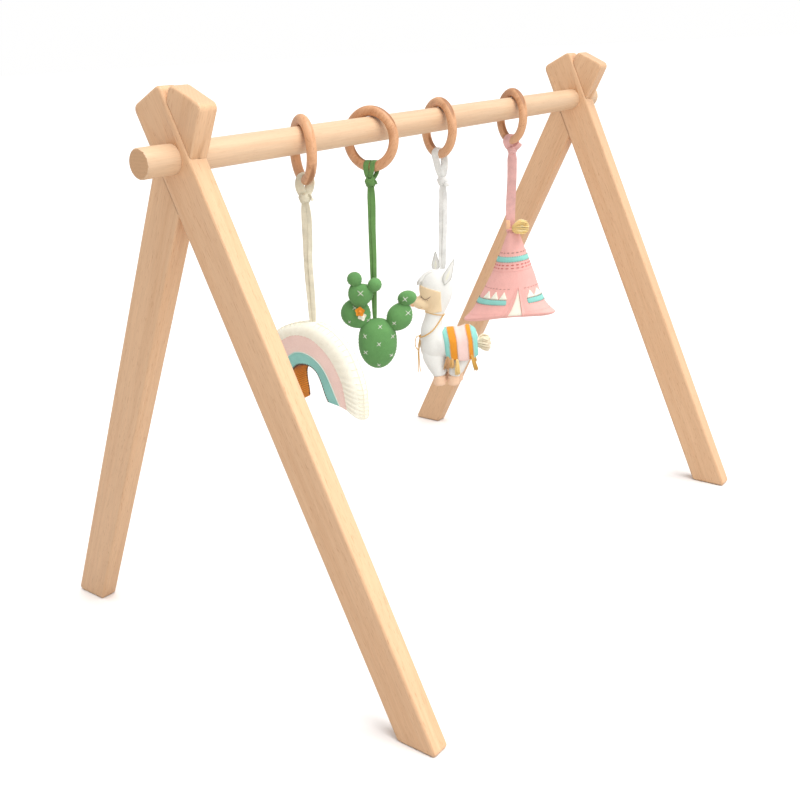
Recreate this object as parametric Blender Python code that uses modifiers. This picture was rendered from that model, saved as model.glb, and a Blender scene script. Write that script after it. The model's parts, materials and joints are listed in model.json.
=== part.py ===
"""An activity play gym: two A-frames of crossed wooden legs, a round crossbar and four hanging soft toys.

Units are metres. X runs along the crossbar, Y from front to back and Z up from the floor. The origin is
on the floor under the middle of the crossbar. Each toy is built in its own frame, which hangs from the
knot of its strap: local X runs to the toy's right, local Y away from its front and Z stays world height.
"""

import math

import bmesh
import bpy
from mathutils import Matrix, Vector

GAP = 0.0003  # between neighbouring pieces

# A-frames
CROSSING_HEIGHT = 0.500
LEG_ANGLE = math.radians(25.6)  # lean of each leg from vertical
LEG_WIDTH = 0.040
LEG_THICKNESS = 0.020
LEG_ABOVE_CROSSING = 0.055
LEG_TOP_RADIUS = 0.006
LEG_FOOT_RADIUS = 0.0035
LEG_EDGE_EASING = 0.0022
FRAME_X = 0.350  # middle of each A-frame from the middle of the crossbar
LAP_STEP = 0.001  # the front leg's outer face stands this far proud of its partner's

# Crossbar
BAR_RADIUS = 0.0125
BAR_LENGTH = 0.790
BAR_CHAMFER = 0.0010
BORE_CLEARANCE = 0.0001

# Rings
RING_OUTER_RADIUS = 0.032
RING_TUBE_RADIUS = 0.005
RING_RADIUS = RING_OUTER_RADIUS - RING_TUBE_RADIUS
RING_HEIGHT = CROSSING_HEIGHT + BAR_RADIUS + GAP - (RING_RADIUS - RING_TUBE_RADIUS)

# Straps
LOOP_TAPE_RADIUS = 0.0014
LOOP_HALF_WIDTH = 0.0084
LOOP_TOP = 0.0075  # centre line of the loop above the middle of the ring's tube
KNOT_SIZE = (0.0062, 0.0046, 0.0056)
TAPE_THICKNESS = 0.0024

# Each toy: ring place and turn, knot place, how the toy faces, top of the toy, width of the tape
HANGINGS = {
    "rainbow": {"ring_x": -0.1964, "ring_yaw": -30.6, "knot": (-0.1980, 0.4470), "facing": -90.0,
                "top": 0.3284, "tape_width": 0.0098, "tape_facing": -48.0},
    "cactus": {"ring_x": -0.0917, "ring_yaw": 8.0, "knot": (-0.0945, 0.4490), "facing": -51.9,
               "top": 0.3053, "tape_width": 0.0084, "tape_facing": -51.9},
    "llama": {"ring_x": 0.0315, "ring_yaw": -22.4, "knot": (0.0380, 0.4340), "facing": -55.6,
              "top": 0.3375, "tape_width": 0.0095, "tape_facing": -55.6},
    "teepee": {"ring_x": 0.1887, "ring_yaw": -29.0, "knot": (0.1918, 0.4515), "facing": -59.5,
               "top": 0.3538, "tape_width": 0.0120, "tape_facing": -59.5},
}

# Rainbow
RAINBOW_CENTRE = (-0.005, 0.262)  # of its arcs, local X and Z
RAINBOW_TILT = math.radians(14.0)
RAINBOW_HALF_DEPTH = 0.014
RAINBOW_LINES = (0.0176, 0.0190, 0.0330, 0.0503, 0.0655)  # arc radii between the bands
RIM_INSET = 0.0055  # how far in from the outer edge the faces start to curve back
RIM_DEPTHS = (0.014, 0.0115, 0.0045)  # half depths at the cream band's inner line, shoulder and rim
FOOT_DROP = 0.022  # from the arcs' centre to the inner corner of a foot

# Teepee, as radius and height of its side from the top down
TENT_PROFILE = ((0.0070, 0.3520), (0.0093, 0.3485), (0.0140, 0.3360), (0.0192, 0.3230), (0.0325, 0.2935),
                (0.0440, 0.2680), (0.0520, 0.2535), (0.0585, 0.2465), (0.0578, 0.2435))
TENT_DEPTH_RATIO = 0.62
TENT_X = 0.0040
TENT_SLUMP = math.tan(math.radians(6.8))  # rise of its right side over its left, per metre across
FELT = 0.0012  # thickness of a sewn-on felt piece

WOOD = (0.72, 0.46, 0.27)
PALE_WOOD = (0.90, 0.72, 0.50)
RING_WOOD = (0.68, 0.40, 0.21)
CREAM = (0.94, 0.92, 0.80)
PINK = (0.93, 0.53, 0.51)
TEAL = (0.36, 0.72, 0.66)
GOLD = (0.80, 0.36, 0.05)
GREEN = (0.11, 0.32, 0.10)
WHITE = (0.92, 0.92, 0.89)
TAN = (0.92, 0.66, 0.42)
ROSE = (0.92, 0.44, 0.42)
CORD = (0.68, 0.42, 0.14)


def clear_scene():
    for obj in list(bpy.data.objects):
        bpy.data.objects.remove(obj, do_unlink=True)


def new_collection(name):
    collection = bpy.data.collections.new(name)
    bpy.context.scene.collection.children.link(collection)
    return collection


def felt(name, colour, roughness=0.95):
    return principled(name, colour, roughness)


def principled(name, colour, roughness):
    material = bpy.data.materials.new(name)
    material.use_nodes = True
    shader = material.node_tree.nodes["Principled BSDF"]
    shader.inputs["Base Color"].default_value = (*colour, 1.0)
    shader.inputs["Roughness"].default_value = roughness
    shader.inputs["Metallic"].default_value = 0.0
    material.diffuse_color = (*colour, 1.0)
    return material


class Builder:
    """Adds named parts and cutters to their collections."""

    def __init__(self):
        self.parts = new_collection("activity_play_gym")
        self.cutters = new_collection("cutters")

    def part(self, name, mesh, material, parent=None):
        obj = bpy.data.objects.new(name, mesh)
        obj.data.materials.append(material)
        self.parts.objects.link(obj)
        obj.parent = parent
        return obj

    def cutter(self, name, mesh, parent=None):
        obj = bpy.data.objects.new(name, mesh)
        obj.hide_render = True
        obj.display_type = "WIRE"
        self.cutters.objects.link(obj)
        obj.parent = parent
        return obj

    def empty(self, name, location, yaw=0.0, parent=None):
        obj = bpy.data.objects.new(name, None)
        obj.location = location
        obj.rotation_euler = (0.0, 0.0, yaw)
        self.parts.objects.link(obj)
        obj.parent = parent
        return obj


def smooth(obj, angle=35.0):
    obj.data.shade_smooth()
    obj.data.set_sharp_from_angle(angle=math.radians(angle))


def boolean(obj, other, operation):
    modifier = obj.modifiers.new(f"{operation.lower()}_{other.name}", "BOOLEAN")
    modifier.operation = operation
    modifier.object = other


def bevel(obj, width, segments, angle):
    modifier = obj.modifiers.new("eased_edges", "BEVEL")
    modifier.width = width
    modifier.segments = segments
    modifier.limit_method = "ANGLE"
    modifier.angle_limit = math.radians(angle)


# Mesh makers


def box_mesh(name, size, centre=(0.0, 0.0, 0.0)):
    mesh = bpy.data.meshes.new(name)
    shape = bmesh.new()
    bmesh.ops.create_cube(shape, size=1.0)
    bmesh.ops.scale(shape, vec=Vector(size), verts=shape.verts)
    bmesh.ops.translate(shape, vec=Vector(centre), verts=shape.verts)
    shape.to_mesh(mesh)
    shape.free()
    return mesh


def ellipsoid_mesh(name, half_sizes, centre=(0.0, 0.0, 0.0), lean=0.0, segments=14, rings=9):
    """An ellipsoid about centre, leaned about local Y so that a positive lean turns its top to local +X."""
    mesh = bpy.data.meshes.new(name)
    shape = bmesh.new()
    bmesh.ops.create_uvsphere(shape, u_segments=segments, v_segments=rings, radius=1.0)
    place = Matrix.Translation(centre) @ Matrix.Rotation(lean, 4, "Y") @ Matrix.Diagonal((*half_sizes, 1.0))
    bmesh.ops.transform(shape, matrix=place, verts=shape.verts)
    shape.to_mesh(mesh)
    shape.free()
    return mesh


def rod_mesh(name, start, end, start_radius, end_radius, segments=16):
    """A closed tapered rod between two points."""
    start, end = Vector(start), Vector(end)
    along = end - start
    mesh = bpy.data.meshes.new(name)
    shape = bmesh.new()
    bmesh.ops.create_cone(shape, cap_ends=True, segments=segments, radius1=start_radius,
                          radius2=end_radius, depth=along.length)
    turn = Vector((0.0, 0.0, 1.0)).rotation_difference(along).to_matrix().to_4x4()
    bmesh.ops.transform(shape, matrix=Matrix.Translation((start + end) / 2) @ turn, verts=shape.verts)
    shape.to_mesh(mesh)
    shape.free()
    return mesh


def mesh_from_curve(name, curve, merge=1e-6):
    """The evaluated curve as one welded mesh with flat caps."""
    guide = bpy.data.objects.new(name + "_guide", curve)
    bpy.context.scene.collection.objects.link(guide)
    graph = bpy.context.evaluated_depsgraph_get()
    mesh = bpy.data.meshes.new_from_object(guide.evaluated_get(graph))
    bpy.data.objects.remove(guide)
    shape = bmesh.new()
    shape.from_mesh(mesh)
    bmesh.ops.remove_doubles(shape, verts=shape.verts, dist=merge)
    bmesh.ops.dissolve_limit(shape, angle_limit=math.radians(0.5), verts=shape.verts, edges=shape.edges)
    bmesh.ops.recalc_face_normals(shape, faces=shape.faces)
    shape.to_mesh(mesh)
    shape.free()
    mesh.name = name
    return mesh


def outline_mesh(name, points, thickness):
    """A flat outline in local XY, thickened evenly to both sides along local Z."""
    curve = bpy.data.curves.new(name + "_outline", "CURVE")
    curve.dimensions = "2D"
    curve.fill_mode = "BOTH"
    curve.extrude = thickness / 2
    spline = curve.splines.new("POLY")
    spline.points.add(len(points) - 1)
    for point, (x, y) in zip(spline.points, points):
        point.co = (x, y, 0.0, 1.0)
    spline.use_cyclic_u = True
    return mesh_from_curve(name, curve)


def tube_mesh(name, points, radius, cyclic=True):
    """A round tube along a path of points."""
    curve = bpy.data.curves.new(name + "_path", "CURVE")
    curve.dimensions = "3D"
    curve.bevel_depth = radius
    curve.bevel_resolution = 1
    curve.use_fill_caps = not cyclic
    spline = curve.splines.new("POLY")
    spline.points.add(len(points) - 1)
    for point, place in zip(spline.points, points):
        point.co = (*place, 1.0)
    spline.use_cyclic_u = cyclic
    return mesh_from_curve(name, curve)


def lathe(builder, name, profile, material, parent, steps=32):
    """A turned solid from a profile of radius and height that runs down its outer side and closes."""
    mesh = bpy.data.meshes.new(name)
    closed = list(profile) + [profile[0]] if profile[0][0] > 1e-9 else list(profile)
    vertices = [(radius, 0.0, height) for radius, height in closed]
    if closed[0] == closed[-1]:
        vertices = vertices[:-1]
    count = len(vertices)
    edges = [(i, i + 1) for i in range(count - 1)]
    if closed[0] == closed[-1]:
        edges.append((count - 1, 0))
    mesh.from_pydata(vertices, edges, [])
    obj = builder.part(name, mesh, material, parent)
    screw = obj.modifiers.new("turned", "SCREW")
    screw.steps = steps
    screw.render_steps = steps
    screw.use_merge_vertices = True
    screw.merge_threshold = 1e-5
    return obj


def rounded_outline(corners, radii, steps=4):
    """The corner points of a convex outline, each replaced by an arc of its own radius."""
    points = []
    for i, (corner, radius) in enumerate(zip(corners, radii)):
        corner = Vector(corner)
        before = (Vector(corners[i - 1]) - corner).normalized()
        after = (Vector(corners[(i + 1) % len(corners)]) - corner).normalized()
        half = before.angle(after) / 2
        centre = corner + (before + after).normalized() * (radius / math.sin(half))
        reach = radius / math.tan(half)
        first = corner + before * reach - centre
        last = corner + after * reach - centre
        turn = first.angle_signed(last)
        for step in range(steps + 1):
            spoke = first.copy()
            spoke.rotate(Matrix.Rotation(-turn * step / steps, 2))
            points.append(tuple(centre + spoke))
    return points


# A-frames


def leg_outline(lean):
    """A leg from the side, in Y and Z, with its foot on the floor. A lean of 1 puts the top at +Y."""
    along = Vector((math.sin(LEG_ANGLE), math.cos(LEG_ANGLE)))
    across = Vector((math.cos(LEG_ANGLE), -math.sin(LEG_ANGLE))) * (LEG_WIDTH / 2)
    crossing = Vector((0.0, CROSSING_HEIGHT))
    top = crossing + along * LEG_ABOVE_CROSSING
    corners = [top - across, top + across]
    for side in (across, -across):
        corner = crossing + side
        corners.append(corner - along * (corner.y / along.y))
    radii = (LEG_TOP_RADIUS, LEG_TOP_RADIUS, LEG_FOOT_RADIUS, LEG_FOOT_RADIUS)
    return [(lean * y, z) for y, z in rounded_outline(corners, radii)]


def lap_cutter(builder, name, x_range, lean):
    """The slot that the leg leaning the given way needs through its partner."""
    slot_length = 0.130
    size = (x_range[1] - x_range[0], LEG_WIDTH + 2 * GAP, slot_length)
    obj = builder.cutter(name, box_mesh(name, size))
    obj.location = (sum(x_range) / 2, 0.0, CROSSING_HEIGHT)
    obj.rotation_euler = (-lean * LEG_ANGLE, 0.0, 0.0)
    return obj


def bore_cutter(builder, name, frame_x):
    start = (frame_x - LEG_THICKNESS, 0.0, CROSSING_HEIGHT)
    end = (frame_x + LEG_THICKNESS, 0.0, CROSSING_HEIGHT)
    radius = BAR_RADIUS + BORE_CLEARANCE
    return builder.cutter(name, rod_mesh(name, start, end, radius, radius, segments=48))


def leg(builder, name, centre_x, lean, slot, bore, material):
    obj = builder.part(name, outline_mesh(name, leg_outline(lean), LEG_THICKNESS), material)
    obj.location = (centre_x, 0.0, 0.0)
    obj.rotation_euler = (math.pi / 2, 0.0, math.pi / 2)
    bevel(obj, LEG_EDGE_EASING, 2, 50.0)
    boolean(obj, slot, "DIFFERENCE")
    boolean(obj, bore, "DIFFERENCE")


def a_frame(builder, side, frame_x, material):
    """Two legs halved into each other. The leg with its foot in front runs unbroken on the -X side."""
    margin = 0.010
    meet_front = frame_x - GAP / 2
    meet_back = frame_x + GAP / 2
    bore = bore_cutter(builder, f"{side}_bore", frame_x)
    front_slot = lap_cutter(builder, f"{side}_front_slot",
                            (meet_front, frame_x + LEG_THICKNESS / 2 + margin), -1)
    back_slot = lap_cutter(builder, f"{side}_back_slot",
                           (frame_x - LEG_THICKNESS / 2 - margin, meet_back), 1)
    leg(builder, f"{side}_front_leg", frame_x, 1, front_slot, bore, material)
    leg(builder, f"{side}_back_leg", frame_x + LAP_STEP, -1, back_slot, bore, material)


def crossbar(builder, material):
    half = BAR_LENGTH / 2
    mesh = rod_mesh("crossbar", (-half, 0.0, 0.0), (half, 0.0, 0.0), BAR_RADIUS, BAR_RADIUS, segments=48)
    obj = builder.part("crossbar", mesh, material)
    obj.location = (0.0, 0.0, CROSSING_HEIGHT)
    bevel(obj, BAR_CHAMFER, 1, 60.0)
    smooth(obj)


# Rings and straps


def ring(builder, toy, hanging, material):
    bpy.ops.mesh.primitive_torus_add(major_segments=32, minor_segments=10, major_radius=RING_RADIUS,
                                     minor_radius=RING_TUBE_RADIUS)
    made = bpy.context.object
    mesh = made.data
    bpy.data.objects.remove(made)
    obj = builder.part(f"{toy}_ring", mesh, material)
    obj.location = (hanging["ring_x"], 0.0, RING_HEIGHT)
    obj.rotation_euler = (0.0, math.pi / 2, math.radians(hanging["ring_yaw"]))
    smooth(obj)


def loop_path(drop, shift, steps=16):
    """A loop round the ring's tube, narrowing to the knot. Local X is the ring's axis, Z is up."""
    height = LOOP_TOP + drop
    path = []
    for step in range(steps):
        angle = math.tau * step / steps
        up = (1 + math.cos(angle)) / 2
        width = LOOP_HALF_WIDTH * math.sin(angle) * (0.62 + 0.55 * up)
        aside = (1 - up) ** 3
        path.append((width + shift[0] * aside, shift[1] * aside, LOOP_TOP - height * (1 - up)))
    return path


def strap_loop(builder, toy, hanging, material):
    """The part of the strap that wraps the ring, with its knot, about the ring's centre."""
    ring_x, yaw = hanging["ring_x"], math.radians(hanging["ring_yaw"])
    knot_x, knot_z = hanging["knot"]
    ring_centre = builder.empty(f"{toy}_ring_centre", (ring_x, 0.0, RING_HEIGHT), yaw)
    offset = Vector((knot_x - ring_x, 0.0, 0.0))
    offset.rotate(Matrix.Rotation(-yaw, 3, "Z"))
    tube_height = -RING_RADIUS
    knot_height = knot_z - RING_HEIGHT
    path = [(x, y, z + tube_height) for x, y, z in loop_path(tube_height - knot_height, offset)]
    obj = builder.part(f"{toy}_strap_loop", tube_mesh(f"{toy}_strap_loop", path, LOOP_TAPE_RADIUS),
                       material, ring_centre)
    knot = ellipsoid_mesh(f"{toy}_knot", KNOT_SIZE, (offset.x, offset.y, knot_height), segments=12, rings=8)
    boolean(obj, builder.cutter(f"{toy}_knot", knot, ring_centre), "UNION")
    smooth(obj)


def strap_tape(builder, toy, hanging, toy_axis, material):
    """The two tapes that hang from the knot to the toy, as one flat strip."""
    top = hanging["knot"][1] - KNOT_SIZE[2] - GAP
    bottom = hanging["top"] + GAP
    size = (hanging["tape_width"], TAPE_THICKNESS, top - bottom)
    obj = builder.part(f"{toy}_strap", box_mesh(f"{toy}_strap", size), material, toy_axis)
    obj.location = (0.0, 0.0, (top + bottom) / 2)
    obj.rotation_euler = (0.0, 0.0, math.radians(hanging["tape_facing"] - hanging["facing"]))
    bevel(obj, 0.0008, 1, 60.0)


# Rainbow


def foot_x(radius):
    """How far out a band line reaches at the foot, for a line whose arc has this radius."""
    return radius + 0.0065 * (1 - (radius - 0.017) / 0.040)


def foot_z(x):
    """The height of the foot's end, which falls away towards the outside."""
    out = abs(x) - 0.022
    return -(FOOT_DROP + 0.15 * out + 10.5 * out * out)


def band_line(radius, steps=16):
    """One line of the rainbow from its right foot over the top to its left foot."""
    arc = [(radius * math.cos(math.pi * i / steps), radius * math.sin(math.pi * i / steps))
           for i in range(steps + 1)]
    foot = foot_x(radius)
    return [(foot, foot_z(foot))] + arc + [(-foot, foot_z(foot))]


def rainbow_band(builder, name, lines, half_depth, tilt_frame, material, steps=16):
    inner, outer = lines[0] + GAP / 2, lines[1] - GAP / 2
    points = band_line(outer, steps) + list(reversed(band_line(inner, steps)))
    obj = builder.part(name, outline_mesh(name, points, 2 * half_depth), material, tilt_frame)
    obj.rotation_euler = (math.pi / 2, 0.0, 0.0)
    return obj


def cushion_mesh(name, lines, depths, steps=20):
    """A band that thins towards its rim: each line of the arch has its own half depth."""
    paths = [band_line(radius, steps) for radius in lines]
    section = 2 * len(lines)
    shape = bmesh.new()
    rows = []
    for points in zip(*paths):
        front = [(x, -depth, z) for (x, z), depth in zip(points, depths)]
        back = [(x, -y, z) for x, y, z in reversed(front)]
        rows.append([shape.verts.new(point) for point in front + back])
    for here, ahead in zip(rows, rows[1:]):
        for k in range(section):
            n = (k + 1) % section
            shape.faces.new((here[k], here[n], ahead[n], ahead[k]))
    shape.faces.new(rows[0])
    shape.faces.new(rows[-1])
    bmesh.ops.recalc_face_normals(shape, faces=shape.faces)
    mesh = bpy.data.meshes.new(name)
    shape.to_mesh(mesh)
    shape.free()
    return mesh


def rainbow(builder, axis, materials):
    tilt_frame = builder.empty("rainbow_tilt", (RAINBOW_CENTRE[0], 0.0, RAINBOW_CENTRE[1]), parent=axis)
    tilt_frame.rotation_euler = (0.0, -RAINBOW_TILT, 0.0)
    lining, teal, pink, cream, outer = RAINBOW_LINES
    depth = RAINBOW_HALF_DEPTH
    rainbow_band(builder, "rainbow_gold_lining", (lining, teal), depth - 0.001, tilt_frame, materials["gold"])
    rainbow_band(builder, "rainbow_teal_band", (teal, pink), depth, tilt_frame, materials["teal"])
    rainbow_band(builder, "rainbow_pink_band", (pink, cream), depth, tilt_frame, materials["pink"])
    lines = (cream + GAP / 2, outer - RIM_INSET, outer)
    edge = cushion_mesh("rainbow_cream_band", lines, RIM_DEPTHS)
    smooth(builder.part("rainbow_cream_band", edge, materials["cream"], tilt_frame))


# Cactus

# Each stuffed piece: half sizes, centre and lean, in the toy's frame
CACTUS_PIECES = {
    "cactus_body": ((0.0222, 0.0160, 0.0292), (0.0018, 0.0000, 0.2758), 0.0),
    "cactus_left_pad": ((0.0168, 0.0115, 0.0163), (-0.0218, 0.0015, 0.3105), 20.0),
    "cactus_middle_pad": ((0.0137, 0.0095, 0.0123), (-0.0152, -0.0075, 0.3331), 0.0),
    "cactus_top_bud": ((0.0083, 0.0078, 0.0079), (-0.0210, -0.0080, 0.3505), 0.0),
    "cactus_side_bud": ((0.0077, 0.0070, 0.0077), (0.0008, -0.0104, 0.3440), 0.0),
    "cactus_right_pad": ((0.0145, 0.0110, 0.0150), (0.0268, 0.0000, 0.3050), 25.0),
    "cactus_right_bud": ((0.0104, 0.0085, 0.0082), (0.0355, 0.0000, 0.3257), 0.0),
    "cactus_flower": ((0.0064, 0.0034, 0.0072), (-0.0158, -0.0115, 0.3140), 0.0),
}
# Which earlier pieces each one is pressed against
CACTUS_CONTACTS = {
    "cactus_left_pad": ("cactus_body",),
    "cactus_middle_pad": ("cactus_left_pad",),
    "cactus_top_bud": ("cactus_middle_pad",),
    "cactus_side_bud": ("cactus_middle_pad",),
    "cactus_right_pad": ("cactus_body",),
    "cactus_right_bud": ("cactus_right_pad",),
    "cactus_flower": ("cactus_left_pad", "cactus_middle_pad"),
}


def clearance_cutter(builder, piece, spec, axis, user):
    half_sizes, centre, lean = spec
    grown = tuple(size + GAP for size in half_sizes)
    name = f"{user}_seat_on_{piece}"
    return builder.cutter(name, ellipsoid_mesh(name, grown, centre, math.radians(lean)), axis)


def cactus(builder, axis, materials):
    for name, (half_sizes, centre, lean) in CACTUS_PIECES.items():
        material = materials["gold" if name.endswith("flower") else "green"]
        mesh = ellipsoid_mesh(name, half_sizes, centre, math.radians(lean))
        obj = builder.part(name, mesh, material, axis)
        for other in CACTUS_CONTACTS.get(name, ()):
            boolean(obj, clearance_cutter(builder, other, CACTUS_PIECES[other], axis, name), "DIFFERENCE")
        smooth(obj)


# Llama

TORSO = ((0.0370, 0.0185, 0.0180), (0.0085, 0.0, 0.2460), -6.0)
HEAD = ((0.0175, 0.0135, 0.0225), (-0.0050, 0.0, 0.3125), 10.0)
NECK = ((-0.0130, 0.0, 0.2480), (-0.0065, 0.0, 0.3000), 0.0150, 0.0100)
MUZZLE = ((0.0150, 0.0105, 0.0120), (-0.0225, 0.0, 0.2985), 15.0)
LLAMA_EARS = {"near": ((0.0072, -0.0060, 0.3330), 25.0), "far": ((-0.0060, 0.0060, 0.3360), 8.0)}
LLAMA_LEGS = {
    "front_near": ((-0.0070, -0.0085, 0.2330), (-0.0040, -0.0085, 0.1925)),
    "front_far": ((-0.0070, 0.0085, 0.2330), (-0.0010, 0.0085, 0.1925)),
    "rear_near": ((0.0250, -0.0085, 0.2350), (0.0140, -0.0085, 0.1920)),
    "rear_far": ((0.0250, 0.0085, 0.2350), (0.0170, 0.0085, 0.1920)),
}
LEG_ROD = (0.0080, 0.0072)
BLANKET_X = (0.0030, 0.0420)
BLANKET_HEM = 0.2310
TAIL = ((0.0085, 0.0070, 0.0110), (0.0515, 0.0, 0.2440), 0.0)
CORD_RADIUS = 0.0009


def torso_cutter(builder, axis, name, grow):
    half_sizes, centre, lean = TORSO
    grown = tuple(size + grow for size in half_sizes)
    return builder.cutter(name, ellipsoid_mesh(name, grown, centre, math.radians(lean), 20, 13), axis)


def llama_body(builder, axis, material):
    half_sizes, centre, lean = TORSO
    mesh = ellipsoid_mesh("llama_body", half_sizes, centre, math.radians(lean), 20, 13)
    body = builder.part("llama_body", mesh, material, axis)
    neck = builder.cutter("llama_neck", rod_mesh("llama_neck", *NECK, segments=20), axis)
    half_sizes, centre, lean = HEAD
    head_mesh = ellipsoid_mesh("llama_head", half_sizes, centre, math.radians(lean))
    head = builder.cutter("llama_head", head_mesh, axis)
    boolean(body, neck, "UNION")
    boolean(body, head, "UNION")
    smooth(body)


def llama_muzzle(builder, axis, material):
    half_sizes, centre, lean = MUZZLE
    mesh = ellipsoid_mesh("llama_muzzle", half_sizes, centre, math.radians(lean))
    muzzle = builder.part("llama_muzzle", mesh, material, axis)
    boolean(muzzle, clearance_cutter(builder, "head", HEAD, axis, "muzzle"), "DIFFERENCE")
    start, end, start_radius, end_radius = NECK
    neck = rod_mesh("muzzle_seat_on_neck", start, end, start_radius + GAP, end_radius + GAP, segments=20)
    boolean(muzzle, builder.cutter("muzzle_seat_on_neck", neck, axis), "DIFFERENCE")
    smooth(muzzle)


def llama_ears(builder, axis, material):
    seat = clearance_cutter(builder, "head", HEAD, axis, "ears")
    for side, (centre, lean) in LLAMA_EARS.items():
        name = f"llama_{side}_ear"
        mesh = ellipsoid_mesh(name, (0.0042, 0.0022, 0.0130), centre, math.radians(lean), 12, 8)
        ear = builder.part(name, mesh, material, axis)
        boolean(ear, seat, "DIFFERENCE")
        smooth(ear)


def blanket_extent(builder, axis, name, margin=0.0):
    """A box that holds everything the blanket may cover, widened by the margin."""
    low, high = BLANKET_X[0] - margin, BLANKET_X[1] + margin
    height = 0.060
    centre = ((low + high) / 2, 0.0, BLANKET_HEM - margin + height / 2)
    return builder.cutter(name, box_mesh(name, (high - low, 0.080, height), centre), axis)


def llama_legs(builder, axis, material):
    seat = torso_cutter(builder, axis, "legs_seat_on_torso", GAP)
    hem_room = torso_cutter(builder, axis, "legs_room_for_blanket", 2 * GAP + FELT)
    boolean(hem_room, blanket_extent(builder, axis, "legs_blanket_extent", GAP), "INTERSECT")
    for place, (top, foot) in LLAMA_LEGS.items():
        name = f"llama_{place}_leg"
        obj = builder.part(name, rod_mesh(name, top, foot, *LEG_ROD), material, axis)
        boolean(obj, seat, "DIFFERENCE")
        if place.startswith("rear"):
            boolean(obj, hem_room, "DIFFERENCE")
        smooth(obj)


def llama_blanket(builder, axis, material):
    """A shell over the back: the torso's shape grown by one felt thickness, less the torso."""
    blanket_mesh = ellipsoid_mesh("llama_blanket", tuple(size + GAP + FELT for size in TORSO[0]), TORSO[1],
                                  math.radians(TORSO[2]), 20, 13)
    blanket = builder.part("llama_blanket", blanket_mesh, material, axis)
    boolean(blanket, torso_cutter(builder, axis, "blanket_seat_on_torso", GAP), "DIFFERENCE")
    boolean(blanket, blanket_extent(builder, axis, "blanket_extent"), "INTERSECT")
    half_sizes, centre, lean = TAIL
    tail_room = tuple(size + GAP for size in half_sizes)
    room = builder.cutter("blanket_tail_room", ellipsoid_mesh("blanket_tail_room", tail_room, centre), axis)
    boolean(blanket, room, "DIFFERENCE")
    smooth(blanket)


def llama_tail(builder, axis, material):
    half_sizes, centre, lean = TAIL
    tail = builder.part("llama_tail", ellipsoid_mesh("llama_tail", half_sizes, centre), material, axis)
    boolean(tail, torso_cutter(builder, axis, "tail_seat_on_torso", GAP), "DIFFERENCE")
    smooth(tail)


def cord_path(steps=16):
    """A loop round the neck that sits high at the nape and low on the chest."""
    start, end, start_radius, end_radius = NECK
    start, end = Vector(start), Vector(end)
    slack = 0.0018
    path = []
    for step in range(steps):
        angle = math.tau * step / steps
        height = 0.2750 + 0.0065 * math.cos(angle)
        share = (height - start.z) / (end.z - start.z)
        middle = start.lerp(end, share)
        radius = start_radius + (end_radius - start_radius) * share + CORD_RADIUS + slack
        path.append((middle.x + radius * math.cos(angle), radius * math.sin(angle), height))
    return path


def llama(builder, axis, materials):
    llama_body(builder, axis, materials["white"])
    llama_muzzle(builder, axis, materials["tan"])
    llama_ears(builder, axis, materials["white"])
    llama_legs(builder, axis, materials["white"])
    llama_blanket(builder, axis, materials["rose"])
    llama_tail(builder, axis, materials["cream"])
    builder.part("llama_neck_cord", tube_mesh("llama_neck_cord", cord_path(), CORD_RADIUS),
                 materials["cord"], axis)


# Teepee


def tent_radius(height):
    """The tent's radius at a height, read off its profile."""
    for (upper_radius, upper), (lower_radius, lower) in zip(TENT_PROFILE, TENT_PROFILE[1:]):
        if lower <= height <= upper:
            share = (upper - height) / (upper - lower)
            return upper_radius + (lower_radius - upper_radius) * share
    return TENT_PROFILE[-1][0]


def felt_profile(top, bottom, steps=2):
    """A thin strip that follows the tent's side between two heights, just clear of it."""
    heights = [top + (bottom - top) * i / steps for i in range(steps + 1)]
    outside = [(tent_radius(z) + GAP + FELT, z) for z in heights]
    inside = [(tent_radius(z) + GAP, z) for z in reversed(heights)]
    return outside + inside


def slump(obj):
    """Bakes a turned piece, made shallower from front to back and sagging to its left."""
    shape = Matrix.Diagonal((1.0, TENT_DEPTH_RATIO, 1.0, 1.0))
    shape[2][0] = TENT_SLUMP
    graph = bpy.context.evaluated_depsgraph_get()
    mesh = bpy.data.meshes.new_from_object(obj.evaluated_get(graph))
    mesh.transform(shape)
    mesh.name = obj.name
    obj.modifiers.clear()
    obj.data = mesh
    smooth(obj)


def teepee(builder, axis, materials):
    centre = builder.empty("teepee_centre", (TENT_X, 0.0, 0.0), parent=axis)
    profile = [(0.0, TENT_PROFILE[0][1])] + list(TENT_PROFILE) + [(0.0, TENT_PROFILE[-1][1])]
    tent = lathe(builder, "teepee_tent", profile, materials["rose"], centre, 28)
    upper = lathe(builder, "teepee_upper_band", felt_profile(0.3230, 0.3155), materials["teal"], centre, 28)
    lower = lathe(builder, "teepee_lower_band", felt_profile(0.2680, 0.2605), materials["teal"], centre, 28)
    door = lathe(builder, "teepee_door", felt_profile(0.2835, 0.2470, 5), materials["cream"], centre, 28)
    for obj in (tent, upper, lower, door):
        slump(obj)
    doorway = (0.0020, 0.0270)
    doorway_mesh = box_mesh("doorway", (doorway[1] - doorway[0], 0.080, 0.060),
                            (sum(doorway) / 2 - TENT_X, -0.040 - 0.004, 0.255))
    boolean(lower, builder.cutter("doorway", doorway_mesh, centre), "DIFFERENCE")
    apex, left, right = (0.0135, 0.2830), (0.0026, 0.2400), (0.0215, 0.2400)
    outline = [(x - TENT_X, z) for x, z in (apex, left, right)]
    door_shape = builder.cutter("door_shape", outline_mesh("door_shape", outline, 0.070), centre)
    door_shape.location = (0.0, -0.040, 0.0)
    door_shape.rotation_euler = (math.pi / 2, 0.0, 0.0)
    boolean(door, door_shape, "INTERSECT")
    tassel = ellipsoid_mesh("teepee_tassel", (0.0095, 0.0050, 0.0062), (0.0160, -0.0100, 0.3600))
    builder.part("teepee_tassel", tassel, materials["cord"], axis)


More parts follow.
